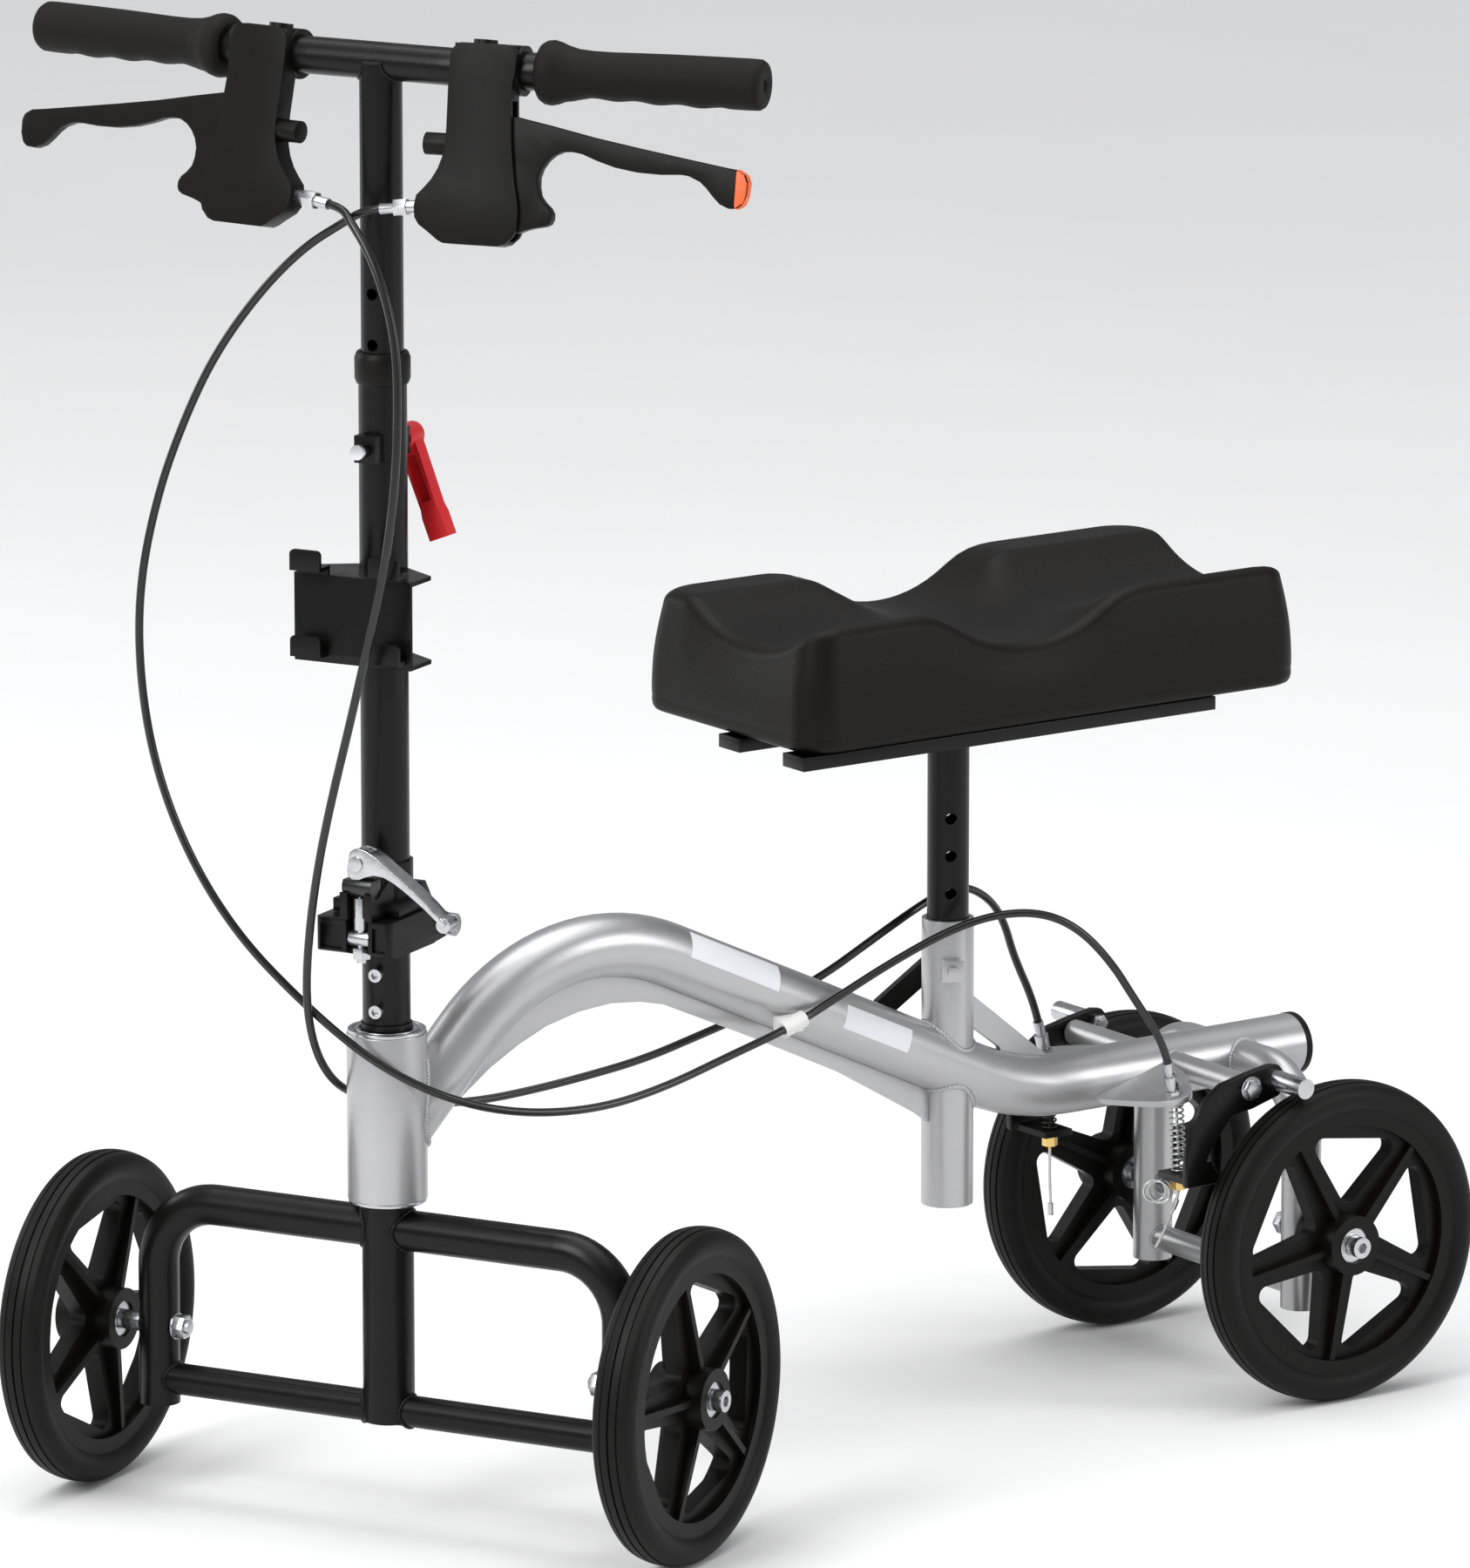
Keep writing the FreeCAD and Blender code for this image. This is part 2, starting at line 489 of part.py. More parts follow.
# ---- folding column ----
bracket_plate = block(-22, 22, -24, 6.3, 372.4, 380).fuse(block(-16.6, 16.6, 6.3, 15, 372.4, 380))
knuckle = rod(V(-16.6, FOLD_PIN_Y, FOLD_PIN_Z), V(16.6, FOLD_PIN_Y, FOLD_PIN_Z), 6.8)
link = prism([V(-16.6, 12, 372.4), V(-16.6, 12, 386), V(-16.6, 18, 386), V(-16.6, FOLD_PIN_Y + 6, FOLD_PIN_Z + 3.2),
              V(-16.6, FOLD_PIN_Y, FOLD_PIN_Z), V(-16.6, FOLD_PIN_Y - 6, FOLD_PIN_Z + 3.2),
              V(-16.6, 15, 372.4)], V(33.2, 0, 0))
socket_tube = rod(V(0, 0, 380), V(0, 0, 401), 16.2)
tongue = prism([V(LATCH_X - 10.5, -42, 372.4), V(LATCH_X - 10.5, -42, 388.5), V(LATCH_X - 10.5, -27, 388.5),
                V(LATCH_X - 10.5, -14.6, 396), V(LATCH_X - 10.5, -14.6, 372.4)], V(21, 0, 0))
fold_bracket = join([bracket_plate, knuckle, link, socket_tube, tongue])
fold_bracket = fold_bracket.cut(rod(V(0, 0, 379.9), V(0, 0, 420), COLUMN_R))
fold_bracket = fold_bracket.cut(rod(V(-30, FOLD_PIN_Y, FOLD_PIN_Z), V(30, FOLD_PIN_Y, FOLD_PIN_Z), 4.06))
fold_bracket = fold_bracket.cut(block(LATCH_X - 5.6, LATCH_X + 5.6, -50, LATCH_Y + 6.5, 370, 400))
fold_bracket = single(fold_bracket.cut(rod(V(-20, LATCH_Y, SADDLE_Z), V(26, LATCH_Y, SADDLE_Z), 6.5)))

column_tube = pipe(V(0, 0, 380), V(0, 0, 684), COLUMN_R, INNER_R + 0.06)
collar_profile = [V(INNER_R + 0.06, 0, 684.1), V(15.2, 0, 684.1), V(16.4, 0, 687.5), V(16.4, 0, 699.5),
                  V(15.0, 0, 703), V(INNER_R + 0.06, 0, 703)]
column_collar = spun(collar_profile, V(0, 0, 0), V(0, 0, 1))

CLAMP_LEVER_Z = 648.0
front_boss = block(-7, 7, -22, -12, CLAMP_LEVER_Z - 8, CLAMP_LEVER_Z + 8)
rear_boss = block(-7, 7, 12, 20, CLAMP_LEVER_Z - 8, CLAMP_LEVER_Z + 8)
column_core = rod(V(0, 0, 380), V(0, 0, 684), COLUMN_R)
clamp_boss = [
    single(front_boss.cut(column_core)),
    rod(V(0, -22, CLAMP_LEVER_Z), V(0, -31.5, CLAMP_LEVER_Z), 4.4),
    single(rear_boss.cut(column_core)),
]

# bracket for a basket: a plate held off the column by two flanges, with four hooked tabs
BASKET_Y = -38.0
plate = block(-38.5, 38.5, BASKET_Y, BASKET_Y + 2.5, 523.5, 575.5)
basket_parts = [plate]
for z0 in (523.5, 573.0):
    flange = prism([V(-38.5, BASKET_Y, z0), V(38.5, BASKET_Y, z0), V(38.5, -13, z0), V(15, 2, z0),
                    V(-15, 2, z0), V(-38.5, -13, z0)], V(0, 0, 2.5))
    basket_parts.append(flange)
for x0 in (-36, 16):
    for z0 in (578.5, 527.5):
        neck_low = min(z0, 560)
        basket_parts.append(block(x0, x0 + 20, BASKET_Y, BASKET_Y + 2.5, neck_low, z0 + 2.5))
        basket_parts.append(block(x0, x0 + 20, BASKET_Y - 10, BASKET_Y, z0, z0 + 2.5))
        hook = block(x0, x0 + 20, BASKET_Y - 10, BASKET_Y - 7.5, z0, z0 + 12.5)
        ends = [e for e in hook.Edges if abs(e.BoundBox.YLength - 2.5) < 0.01 and e.BoundBox.ZMin > z0 + 1]
        basket_parts.append(hook.makeFillet(3.0, ends))
basket_bracket = single(join(basket_parts).cut(column_core))

# red clamp lever on the back of the column
hub = rod(V(0, 20.4, CLAMP_LEVER_Z), V(0, 36.4, CLAMP_LEVER_Z), 7.6)
lever_angle = math.degrees(math.atan2(24, -61))
arm = join([
    prism([V(-6.2, 25, -2), V(6.2, 25, -2), V(5.6, 25, 44), V(6.6, 25, 49), V(6.6, 25, 63),
           V(-6.6, 25, 63), V(-6.6, 25, 49), V(-5.6, 25, 44)], V(0, 10, 0)),
])
arm = arm.cut(block(-3.2, 3.2, 31.5, 40, 12, 40)).cut(block(-3.2, 3.2, 20, 28.5, 12, 40))
arm.rotate(V(0, 0, 0), V(0, 1, 0), lever_angle)
clamp_lever = single(join([hub, moved(arm, V(0, 0, CLAMP_LEVER_Z))]))

# latch: a threaded bolt that hangs through a round saddle, with spring, barrel and nut
def at_latch(x, y, z):
    return V(LATCH_X + x, LATCH_Y + y, z)


saddle = rod(at_latch(-9.5, 0, SADDLE_Z), at_latch(9.5, 0, SADDLE_Z), 6.3)
saddle = saddle.cut(block(-20, 30, -60, -20, 395.9, 410)).cut(rod(at_latch(0, 0, 380), at_latch(0, 0, 400), 2.95))
eye = rod(at_latch(0, -3.0, CAM_PIN_Z), at_latch(0, 3.0, CAM_PIN_Z), 6.0)
latch_eye = join([eye, rod(at_latch(0, 0, 346), at_latch(0, 0, 402), 2.9)])
latch_eye = latch_eye.cut(rod(at_latch(0, -8, CAM_PIN_Z), at_latch(0, 8, CAM_PIN_Z), 2.95))
cam_pin = join([
    rod(at_latch(0, -6.6, CAM_PIN_Z), at_latch(0, 7.2, CAM_PIN_Z), 2.95),
    rod(at_latch(0, -7.3, CAM_PIN_Z), at_latch(0, -6.6, CAM_PIN_Z), 4.4),
])
latch_spring = pipe(at_latch(0, 0, 366.0), at_latch(0, 0, 385.0), 4.9, 3.2)
latch_bore = rod(at_latch(0, 0, 346), at_latch(0, 0, 368), 2.95)
barrel = rod(at_latch(-6.8, 0, 360.5), at_latch(6.8, 0, 360.5), 4.8).cut(latch_bore)
latch_nut = hex_prism(at_latch(0, 0, 348.5), V(0, 0, 1), 10.0, 6.5).cut(latch_bore)

# cam lever: a forked head round the eye and a long arm arched across the front of the column
lever_top = [
    (-4.6, 4), (-3.8, 7.1), (-1.4, 8.7), (2.1, 9.3), (5.4, 8.9), (8.3, 7.8), (14.5, 4.2), (18.9, 0.9), (29.6, -6.4),
    (38.4, -12.6), (47.3, -19.7), (54.3, -26.1), (59.6, -29.9),
]
lever_low = [
    (57.8, -32.1), (52.5, -27.9), (46.4, -23.0), (38.4, -17.4), (31.3, -12.6), (24.2, -8.5), (18, -6.0),
    (11.8, -5.7), (6.4, -7.2), (1.9, -9.2), (-2.6, -9.3), (-5.4, -7.6), (-5.8, -4), (-5.2, 0),
]
lever_side = [at_latch(x, -6.5, CAM_PIN_Z + z) for x, z in lever_top + lever_low]
latch_lever = prism(lever_side, V(0, 13, 0))
latch_lever = latch_lever.fuse(rod(at_latch(57.0, -5.5, 375.0), at_latch(57.0, 5.5, 375.0), 4.6))
latch_lever = latch_lever.cut(block(-40, LATCH_X + 8.5, LATCH_Y - 3.4, LATCH_Y + 3.4, 380, 430))
latch_lever = latch_lever.removeSplitter()
latch_lever = single(latch_lever.cut(rod(at_latch(0, -20, CAM_PIN_Z), at_latch(0, 20, CAM_PIN_Z), 3.03)))

# ---- sliding handlebar ----
sweep = math.radians(BAR_SWEEP)
half_run = (236.5 - BAR_STRAIGHT) / math.cos(sweep)


def bar_frame(side, s, v, z):
    """A point beside the swept half of the bar: s along it, v behind it, at height z."""
    x = side * (BAR_STRAIGHT + s * math.cos(sweep) - v * math.sin(sweep))
    y = s * math.sin(sweep) + v * math.cos(sweep)
    return V(x, y, z)


bar_points = [bar_frame(-1, half_run, 0, BAR_Z), V(-BAR_STRAIGHT, 0, BAR_Z), V(BAR_STRAIGHT, 0, BAR_Z),
              bar_frame(1, half_run, 0, BAR_Z)]
bar_solid = round_bar(bar_points, [110.0, 110.0], BAR_R)
handlebar = bar_solid.cut(round_bar(bar_points, [110.0, 110.0], BAR_R - 1.8))
inner_tube = pipe(V(0, 0, 500), V(0, 0, BAR_Z - 0.5), INNER_R, INNER_R - 1.5).cut(bar_solid)
for k in range(8):
    z = 738 - 30 * k
    inner_tube = inner_tube.cut(rod(V(0, -20, z), V(0, 20, z), 3.5))
inner_tube = max(inner_tube.Solids, key=lambda s: s.Volume)


def in_bar_frame(shape, side, tilt=LEVER_TILT):
    """Move a piece drawn with x along the bar and y behind it onto the swept bar."""
    s = shape.copy()
    s.rotate(V(0, 0, BAR_Z), V(1, 0, 0), -tilt)
    if side < 0:
        s = mirrored(s)
    s.rotate(V(0, 0, 0), V(0, 0, 1), side * BAR_SWEEP)
    s.translate(V(side * BAR_STRAIGHT, 0, 0))
    return s


# grip: flange, hand swell and rounded end, turned about the bar
GRIP_R0 = BAR_R + 0.05
grip_profile = [
    (52.5, GRIP_R0), (52.5, 14.5), (54, 17.0), (56.5, 18.5), (60, 18.9), (63.5, 18.1), (68, 16.3), (75, 14.6),
    (84, 13.9), (96, 13.8), (112, 14.2), (132, 14.6), (155, 14.8), (180, 14.9), (186.5, 14.7), (188.6, 13.4),
    (189.2, 11.0), (189.2, 2.2), (half_run, 2.2), (half_run, GRIP_R0),
]
grip_points = [V(s, 0, r) for s, r in grip_profile]
grip_solid = spun(grip_points, V(0, 0, 0), V(1, 0, 0))
grip_solid.translate(V(0, 0, BAR_Z))
grip_solid = single(join([grip_solid, rod(V(100, 0, BAR_Z - 14.4), V(107, 0, BAR_Z - 14.4), 2.4)]))

# brake housing: a flat body with a slot for the lever, and a band round the bar
FERRULE_START = V(-13.0, -10.4, 791.5)
FERRULE_END = V(-36.5, -10.4, 788.6)
body_outline = [
    (2.0, 868), (2.3, 880), (4.0, 884), (8.5, 886.4), (18, 887), (35.5, 887), (40.5, 885.6), (43.2, 882),
    (42.6, 872), (41.4, 864), (41.2, 857), (43, 835), (44.6, 822), (47, 808), (49.8, 796), (50.4, 789),
    (50.2, 782), (48, 777), (43.5, 772.6), (39, 771.2), (5.5, 771.2), (2, 772.8), (-3, 776.4), (-10, 781),
    (-12.8, 785), (-13.7, 792), (-12.6, 797.8), (-8.3, 802.4), (-4, 807.6), (-0.5, 814), (1.6, 820.5),
    (2.9, 826), (2.9, 838), (2.3, 858),
]
body = prism([V(s, -17, z) for s, z in body_outline], V(0, 13.5, 0))
ring_solid = rod(V(2.3, 0, BAR_Z), V(43, 0, BAR_Z), 14.6)
top_block = block(4, 41, -15, 7, BAR_Z, 886.6)
housing = join([body, ring_solid, top_block])
housing = housing.cut(prism([V(11.5, -14.3, 774.5), V(11.5, -14.3, 855), V(56, -14.3, 855), V(56, -14.3, 774.5)],
                            V(0, 7.8, 0)))
housing = housing.cut(rod(V(-20, -10.4, 828), V(12, -10.4, 828), 6.55))
housing = housing.cut(rod(FERRULE_START, FERRULE_START + V(25, 0, 3.1), 2.0))
housing_pin = rod(V(22, -15.9, 830), V(22, -4.6, 830), 3.0)
housing = housing.cut(rod(V(22, -15.95, 830), V(22, -4.0, 830), 3.0)).fuse(housing_pin)
dome = rod(V(17.7, -2, 886.4), V(17.7, -2, 889.6), 7.0)
housing = single(join([housing, dome]))
housings = [in_bar_frame(housing, 1), in_bar_frame(housing, -1)]
bar_room = round_bar(bar_points, [110.0, 110.0], BAR_R + 0.02)

lever_outline = [
    (14, 833), (17, 845), (22, 847.5), (44.5, 846), (64.6, 842.4), (91.7, 837.1), (118.7, 832.7), (145.5, 828.6),
    (172.4, 824.6), (181.7, 823.4), (186.3, 820.8), (188.2, 816.6), (187.8, 809.1), (185.9, 804.2), (182.8, 801.6),
    (176.8, 801.2), (171.4, 803.4), (167.1, 807.3), (162.7, 812), (158.5, 815.4), (151.6, 818.2), (146.3, 818.8),
    (133.1, 818.1), (119.8, 818.5), (106.3, 820.5), (95.4, 823.6), (85.8, 827), (79, 828), (73.7, 827.6),
    (68.6, 825.2), (64.8, 821.8), (61.8, 817.3), (60.2, 812.2), (60.4, 806.6), (61.7, 801.7), (64.7, 798.1),
    (68.2, 795.2), (70.1, 792.2), (70.3, 789), (68.9, 785.8), (66.4, 784.4), (58.5, 782.7), (54.6, 781.5),
    (50, 779.5), (24, 779), (18, 786),
]
lever = prism([V(s, -14.0, z) for s, z in lever_outline], V(0, 7.2, 0))
brake_lever = single(lever.cut(rod(V(22, -20, 830), V(22, 0, 830), 3.06)))

lock_button = rod(V(-11, -10.4, 828), V(7.5, -10.4, 828), 6.5)
ferrule_run = (FERRULE_END - FERRULE_START).normalize()


def on_ferrule(distance):
    return FERRULE_START + ferrule_run * distance


ferrule = join([
    rod(on_ferrule(-1), on_ferrule(7.2), 3.7),
    hex_prism(on_ferrule(6.8), ferrule_run, 9.2, 8.0),
    rod(on_ferrule(14.8), FERRULE_END, 3.3),
]).cut(housing)
ferrule = max(ferrule.Solids, key=lambda s: s.Volume)

# ---- knee rest ----
post = rod(V(0, SEAT_TUBE_Y, 165), V(0, SEAT_TUBE_Y, 434.3), SEAT_POST_R)
post = post.cut(rod(V(0, SEAT_TUBE_Y, 164), V(0, SEAT_TUBE_Y, 425), SEAT_POST_R - 2.0))
for k in range(8):
    z = 374.2 - 23.2 * k
    a = V(0, SEAT_TUBE_Y, z) - CLAMP_DIR * 20
    b = V(0, SEAT_TUBE_Y, z) + CLAMP_DIR * 20
    post = post.cut(rod(a, b, 3.6))
head_plate = block(-21.9, 21.9, SEAT_TUBE_Y - 24, SEAT_TUBE_Y + 24, 428.5, 434.3)
seat_post = single(join([post, head_plate]))
rails = []
for x0 in (-44, 22):
    rail = block(x0, x0 + 22, 269.5, 578, 426, 434.3)
    rail = rail.cut(block(x0 + 2, x0 + 20, 271.5, 576, 428, 440))
    rails.append(single(rail))

PAD_X0, PAD_X1 = -133.0, 51.0
PAD_Y0, PAD_Y1 = 269.0, 645.0
PAD_TOP = 510.0
pad = block(PAD_X0, PAD_X1, PAD_Y0, PAD_Y1, PAD_BOTTOM, PAD_TOP)
corners = [e for e in pad.Edges if abs(e.BoundBox.ZLength - (PAD_TOP - PAD_BOTTOM)) < 0.1]
pad = pad.makeFillet(20.0, corners)
# a trough along the pad for the shin, and a dip across it
TROUGH_X = -26.0
TROUGH_R = 106.0
TROUGH_DEPTH = 20.0
DIP_Y = 440.0
DIP_R = 97.0
DIP_DEPTH = 27.0
trough_z = PAD_TOP - TROUGH_DEPTH + TROUGH_R
dip_z = PAD_TOP - DIP_DEPTH + DIP_R
trough = rod(V(TROUGH_X, PAD_Y0 - 5, trough_z), V(TROUGH_X, PAD_Y1 + 5, trough_z), TROUGH_R)
dip = rod(V(PAD_X0 - 5, DIP_Y, dip_z), V(PAD_X1 + 5, DIP_Y, dip_z), DIP_R)
knee_pad = single(pad.cut(trough).cut(dip))

# black clamp lever on the far side of the seat tube
away = CLAMP_DIR * -1
grip_dir = V(-0.469, -0.883, 0) * 0.75 + V(0, 0, -0.66)
grip_dir.normalize()
side_dir = away.cross(grip_dir)
clamp_hub = rod(seat_axis + away * 16.6, seat_axis + away * 31, 7.6)
start = seat_axis + away * 20 - side_dir * 6
corner_a = start - grip_dir * 2
handle = prism([corner_a, corner_a + side_dir * 12, corner_a + side_dir * 12 + grip_dir * 52,
                corner_a + grip_dir * 52], away * 9)
seat_clamp_lever = single(join([clamp_hub, handle]))

# ---- brake cables: outer sheaths from the brake housings to the ear adjusters ----
def ferrule_mouth(side, distance=0):
    """Where a cable leaves its ferrule on the turned front end, or further along its axis."""
    mouth = FERRULE_END + ferrule_run * (0.05 + distance)
    return steered(in_bar_frame(Part.Vertex(mouth), side)).Point


def adjuster_mouth(side, distance=0):
    """Where a cable leaves its adjuster, or further along its axis."""
    return on_ear(Part.Vertex(0, 0, ADJUSTER_H + 0.05 + distance), side).Point


left_route = [
    ferrule_mouth(1), ferrule_mouth(1, 10), V(4, -29.8, 781.5), V(-14, -44.5, 766.5), V(-35.7, -60.1, 739.9),
    V(-59.9, -74.9, 702.7), V(-75.5, -86.3, 665), V(-90, -98, 616),
    V(-98, -107, 558), V(-97, -107, 500), V(-88, -101, 446), V(-70, -89, 396), V(-44, -73, 354),
    V(-19.3, -47.8, 318.2), V(12.6, -30.1, 292.6), V(33, -6, 273), V(43, 30, 256), V(48, 72, 246), V(49, 120, 243),
    V(45, 168, 248), V(36, 222, 258), V(25.5, 273.5, 266), V(24.5, 310, 280), V(26, 345, 295), V(31, 385, 311),
    V(39, 416, 319), V(48, 444, 318), V(56, 466, 306.5), V(62, 486, 284), V(65, 502.5, 258),
    adjuster_mouth(1, 14), adjuster_mouth(1),
]
right_route = [
    ferrule_mouth(-1), ferrule_mouth(-1, 10), V(18.5, -34, 785.0), V(31, -31.5, 771.5), V(42, -29.5, 754),
    V(51, -27.8, 731), V(56.5, -27.4, 706), V(59.8, -29.9, 660.4), V(59.4, -33, 622), V(54.5, -37.3, 580),
    V(44.4, -42.3, 536.4), V(34, -47, 493), V(20.4, -51.4, 445.4), V(8.7, -53.6, 403), V(-0.2, -54.3, 361),
    V(-7.1, -52, 320.6), V(-13, -42.4, 289.5), V(-18.3, -27.5, 268), V(-28, -6, 254), V(-35, 25, 244), V(-37, 58, 237),
    V(-36, 90, 234.5), V(-34.5, 125, 236), V(-33, 165, 239.5), V(-31.5, 206, 244.5), V(-31, 248, 254),
    V(-29, 290, 264.5), V(-28, 333, 277.5), V(-28, 376, 298), V(-30.5, 411, 312.5), V(-38, 439, 318),
    V(-46, 461, 313), V(-53.5, 482, 300), V(-59, 495.5, 283), V(-63.5, 505.5, 261),
    adjuster_mouth(-1, 14), adjuster_mouth(-1),
]


def sheath(route, r=CABLE_R):
    """A cable as straight runs joined by the largest arcs its runs allow."""
    radii = []
    for i in range(1, len(route) - 1):
        a = route[i] - route[i - 1]
        b = route[i + 1] - route[i]
        half = a.getAngle(b) / 2
        radii.append(0.45 * min(a.Length, b.Length) / math.tan(half))
    length = rounded_path(route, radii).Length
    print("sheath: smallest bend", round(min(radii), 1), "mm, length", round(length, 1), "mm")
    return round_bar(route, radii, r)


clip_room = sheath(left_route, CABLE_R + 0.15)

# ---- put every piece in place and write it ----
front_axles = []
rear_axles = []
for side in (1, -1):
    front_axles += axle_set(side, FRONT_TRACK, FORK_LEG_X, 0)
    rear_axles += axle_set(side, REAR_TRACK, REAR_LEG_X, REAR_AXLE_Y)

nodes = {
    "head_tube": head_tube,
    "headset_cups": group([upper_cup, lower_cup]),
    "main_tube": single(main_tube),
    "frame_ribs": group([down_rib, rear_gusset]),
    "seat_tube": seat_tube,
    "seat_clamp_nut": single(boss),
    "main_tube_cap": single(end_cap),
    "rear_leg_left": rear_leg_left,
    "rear_leg_right": rear_leg_right,
    "rear_cross_tubes": group([tie] + pivot_stubs),
    "cable_plate": cable_plate,
    "cable_adjusters": group(adjusters),
    "cable_clip": max(clip_block.cut(clip_room).Solids, key=lambda s: s.Volume),
    "rear_axles": group(rear_axles),
    "brake_pivot_bolts": group(pivot_bolts),
    "brake_arm_left": brake_arm_left,
    "brake_arm_right": mirrored(brake_arm_left),
    "brake_pin_left": pin,
    "brake_pin_right": mirrored(pin),
    "brake_anchor_left": group(anchor_pieces_left),
    "brake_anchor_right": group([mirrored(a) for a in anchor_pieces_right]),
    "brake_spring_left": spring_sleeve,
    "brake_spring_right": mirrored(spring_sleeve),
    "rim_rear_left": wheel_rim(REAR_TRACK, REAR_AXLE_Y, -8),
    "rim_rear_right": wheel_rim(-REAR_TRACK, REAR_AXLE_Y, 28),
    "tyre_rear_left": wheel_tyre(REAR_TRACK, REAR_AXLE_Y),
    "tyre_rear_right": wheel_tyre(-REAR_TRACK, REAR_AXLE_Y),
    "rim_front_left": steered(wheel_rim(FRONT_TRACK, 0, 50)),
    "rim_front_right": steered(wheel_rim(-FRONT_TRACK, 0, 10)),
    "tyre_front_left": steered(wheel_tyre(FRONT_TRACK, 0)),
    "tyre_front_right": steered(wheel_tyre(-FRONT_TRACK, 0)),
    "fork_hoop": steered(single(fork_hoop)),
    "fork_lower_tube": steered(single(fork_lower)),
    "steerer_tube": steered(steerer),
    "front_axles": steered(group(front_axles)),
    "fold_base": steered(fold_base),
    "fork_bolts": steered(group(fork_bolts)),
    "fold_bracket": steered(fold_bracket),
    "column_tube": steered(column_tube),
    "column_collar": steered(column_collar),
    "clamp_boss": steered(group(clamp_boss)),
    "basket_bracket": steered(basket_bracket),
    "clamp_lever": steered(clamp_lever),
    "latch_bolt": steered(group([latch_eye, cam_pin, saddle, latch_spring, barrel, latch_nut])),
    "latch_lever": steered(latch_lever),
    "inner_tube": steered(inner_tube),
    "handlebar": steered(single(handlebar)),
    "grips": steered(group([in_bar_frame(grip_solid, 1, 0), in_bar_frame(grip_solid, -1, 0)])),
    "brake_housings": steered(group([s.cut(bar_room) for s in housings])),
    "cable_ferrules": steered(group([in_bar_frame(ferrule, 1), in_bar_frame(ferrule, -1)])),
    "brake_lever_left": steered(in_bar_frame(brake_lever, 1)),
    "brake_lever_right": steered(in_bar_frame(brake_lever, -1)),
    "lock_button_left": steered(in_bar_frame(lock_button, 1)),
    "lock_button_right": steered(in_bar_frame(lock_button, -1)),
    "seat_post": seat_post,
    "knee_pad": knee_pad,
    "pad_rails": group(rails),
    "seat_clamp_lever": seat_clamp_lever,
    "brake_cable_left": sheath(left_route),
    "brake_cable_right": sheath(right_route),
}

os.makedirs("parts", exist_ok=True)
low = V(1e9, 1e9, 1e9)
high = V(-1e9, -1e9, -1e9)
for name, shape in nodes.items():
    shape.translate(FRAME_SHIFT)
    box = shape.optimalBoundingBox(False)
    low = V(min(low.x, box.XMin), min(low.y, box.YMin), min(low.z, box.ZMin))
    high = V(max(high.x, box.XMax), max(high.y, box.YMax), max(high.z, box.ZMax))
    if not shape.isValid():
        print("not valid:", name)
    shape.exportStep("parts/" + name + ".step")
print(len(nodes), "nodes from", low, "to", high)
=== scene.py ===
import json
import math

import bpy
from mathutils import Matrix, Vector


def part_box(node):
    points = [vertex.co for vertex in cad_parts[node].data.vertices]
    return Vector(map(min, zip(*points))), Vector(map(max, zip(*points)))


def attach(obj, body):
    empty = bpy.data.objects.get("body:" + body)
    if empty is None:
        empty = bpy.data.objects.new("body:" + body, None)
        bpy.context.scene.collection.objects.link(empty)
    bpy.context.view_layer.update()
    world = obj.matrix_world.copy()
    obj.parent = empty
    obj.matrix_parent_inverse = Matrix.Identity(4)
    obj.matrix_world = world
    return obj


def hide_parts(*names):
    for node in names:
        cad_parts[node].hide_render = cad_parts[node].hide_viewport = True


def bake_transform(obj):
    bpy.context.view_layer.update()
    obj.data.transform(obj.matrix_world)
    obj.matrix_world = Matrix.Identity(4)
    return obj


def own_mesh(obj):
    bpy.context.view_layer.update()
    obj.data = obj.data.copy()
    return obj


# Knee scooter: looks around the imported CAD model.  Metres, +Z up, the rider faces -Y.

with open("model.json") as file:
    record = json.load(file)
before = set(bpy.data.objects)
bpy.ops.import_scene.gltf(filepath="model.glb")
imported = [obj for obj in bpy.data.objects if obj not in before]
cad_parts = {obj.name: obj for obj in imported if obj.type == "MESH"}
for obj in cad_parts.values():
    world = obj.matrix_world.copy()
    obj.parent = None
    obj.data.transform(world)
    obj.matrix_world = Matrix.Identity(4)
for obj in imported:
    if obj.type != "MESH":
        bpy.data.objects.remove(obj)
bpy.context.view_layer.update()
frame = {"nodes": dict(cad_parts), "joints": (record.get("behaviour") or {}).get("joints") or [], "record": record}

JOINTS = {j["name"]: j for j in frame["joints"]}
NODES = frame["nodes"]
MM = 0.001

# ---- places, from the frame ----
STEER = Vector(JOINTS["steering"]["pos_m"]) * 1.0
STEER.z = 0.0
FRONT_LEFT = -Vector(JOINTS["column_fold"]["axis"])           # the turned front end's own left
FRONT_REAR = Vector((-FRONT_LEFT.y, FRONT_LEFT.x, 0.0))       # and its own rearward direction
UP = Vector((0, 0, 1))
BAR_Z = 873.0
BAR_SWEEP = math.radians(7.0)
BAR_STRAIGHT = 50.0
LEVER_TILT = math.radians(12.0)


def at(x, y, z):
    """A point of the frame, in mm from the steering axis and the floor."""
    return STEER + Vector((x, y, z)) * MM


def front(left, rear, z):
    """A point of the turned front end, in mm from the steering axis and the floor."""
    return STEER + FRONT_LEFT * (left * MM) + FRONT_REAR * (rear * MM) + UP * (z * MM)


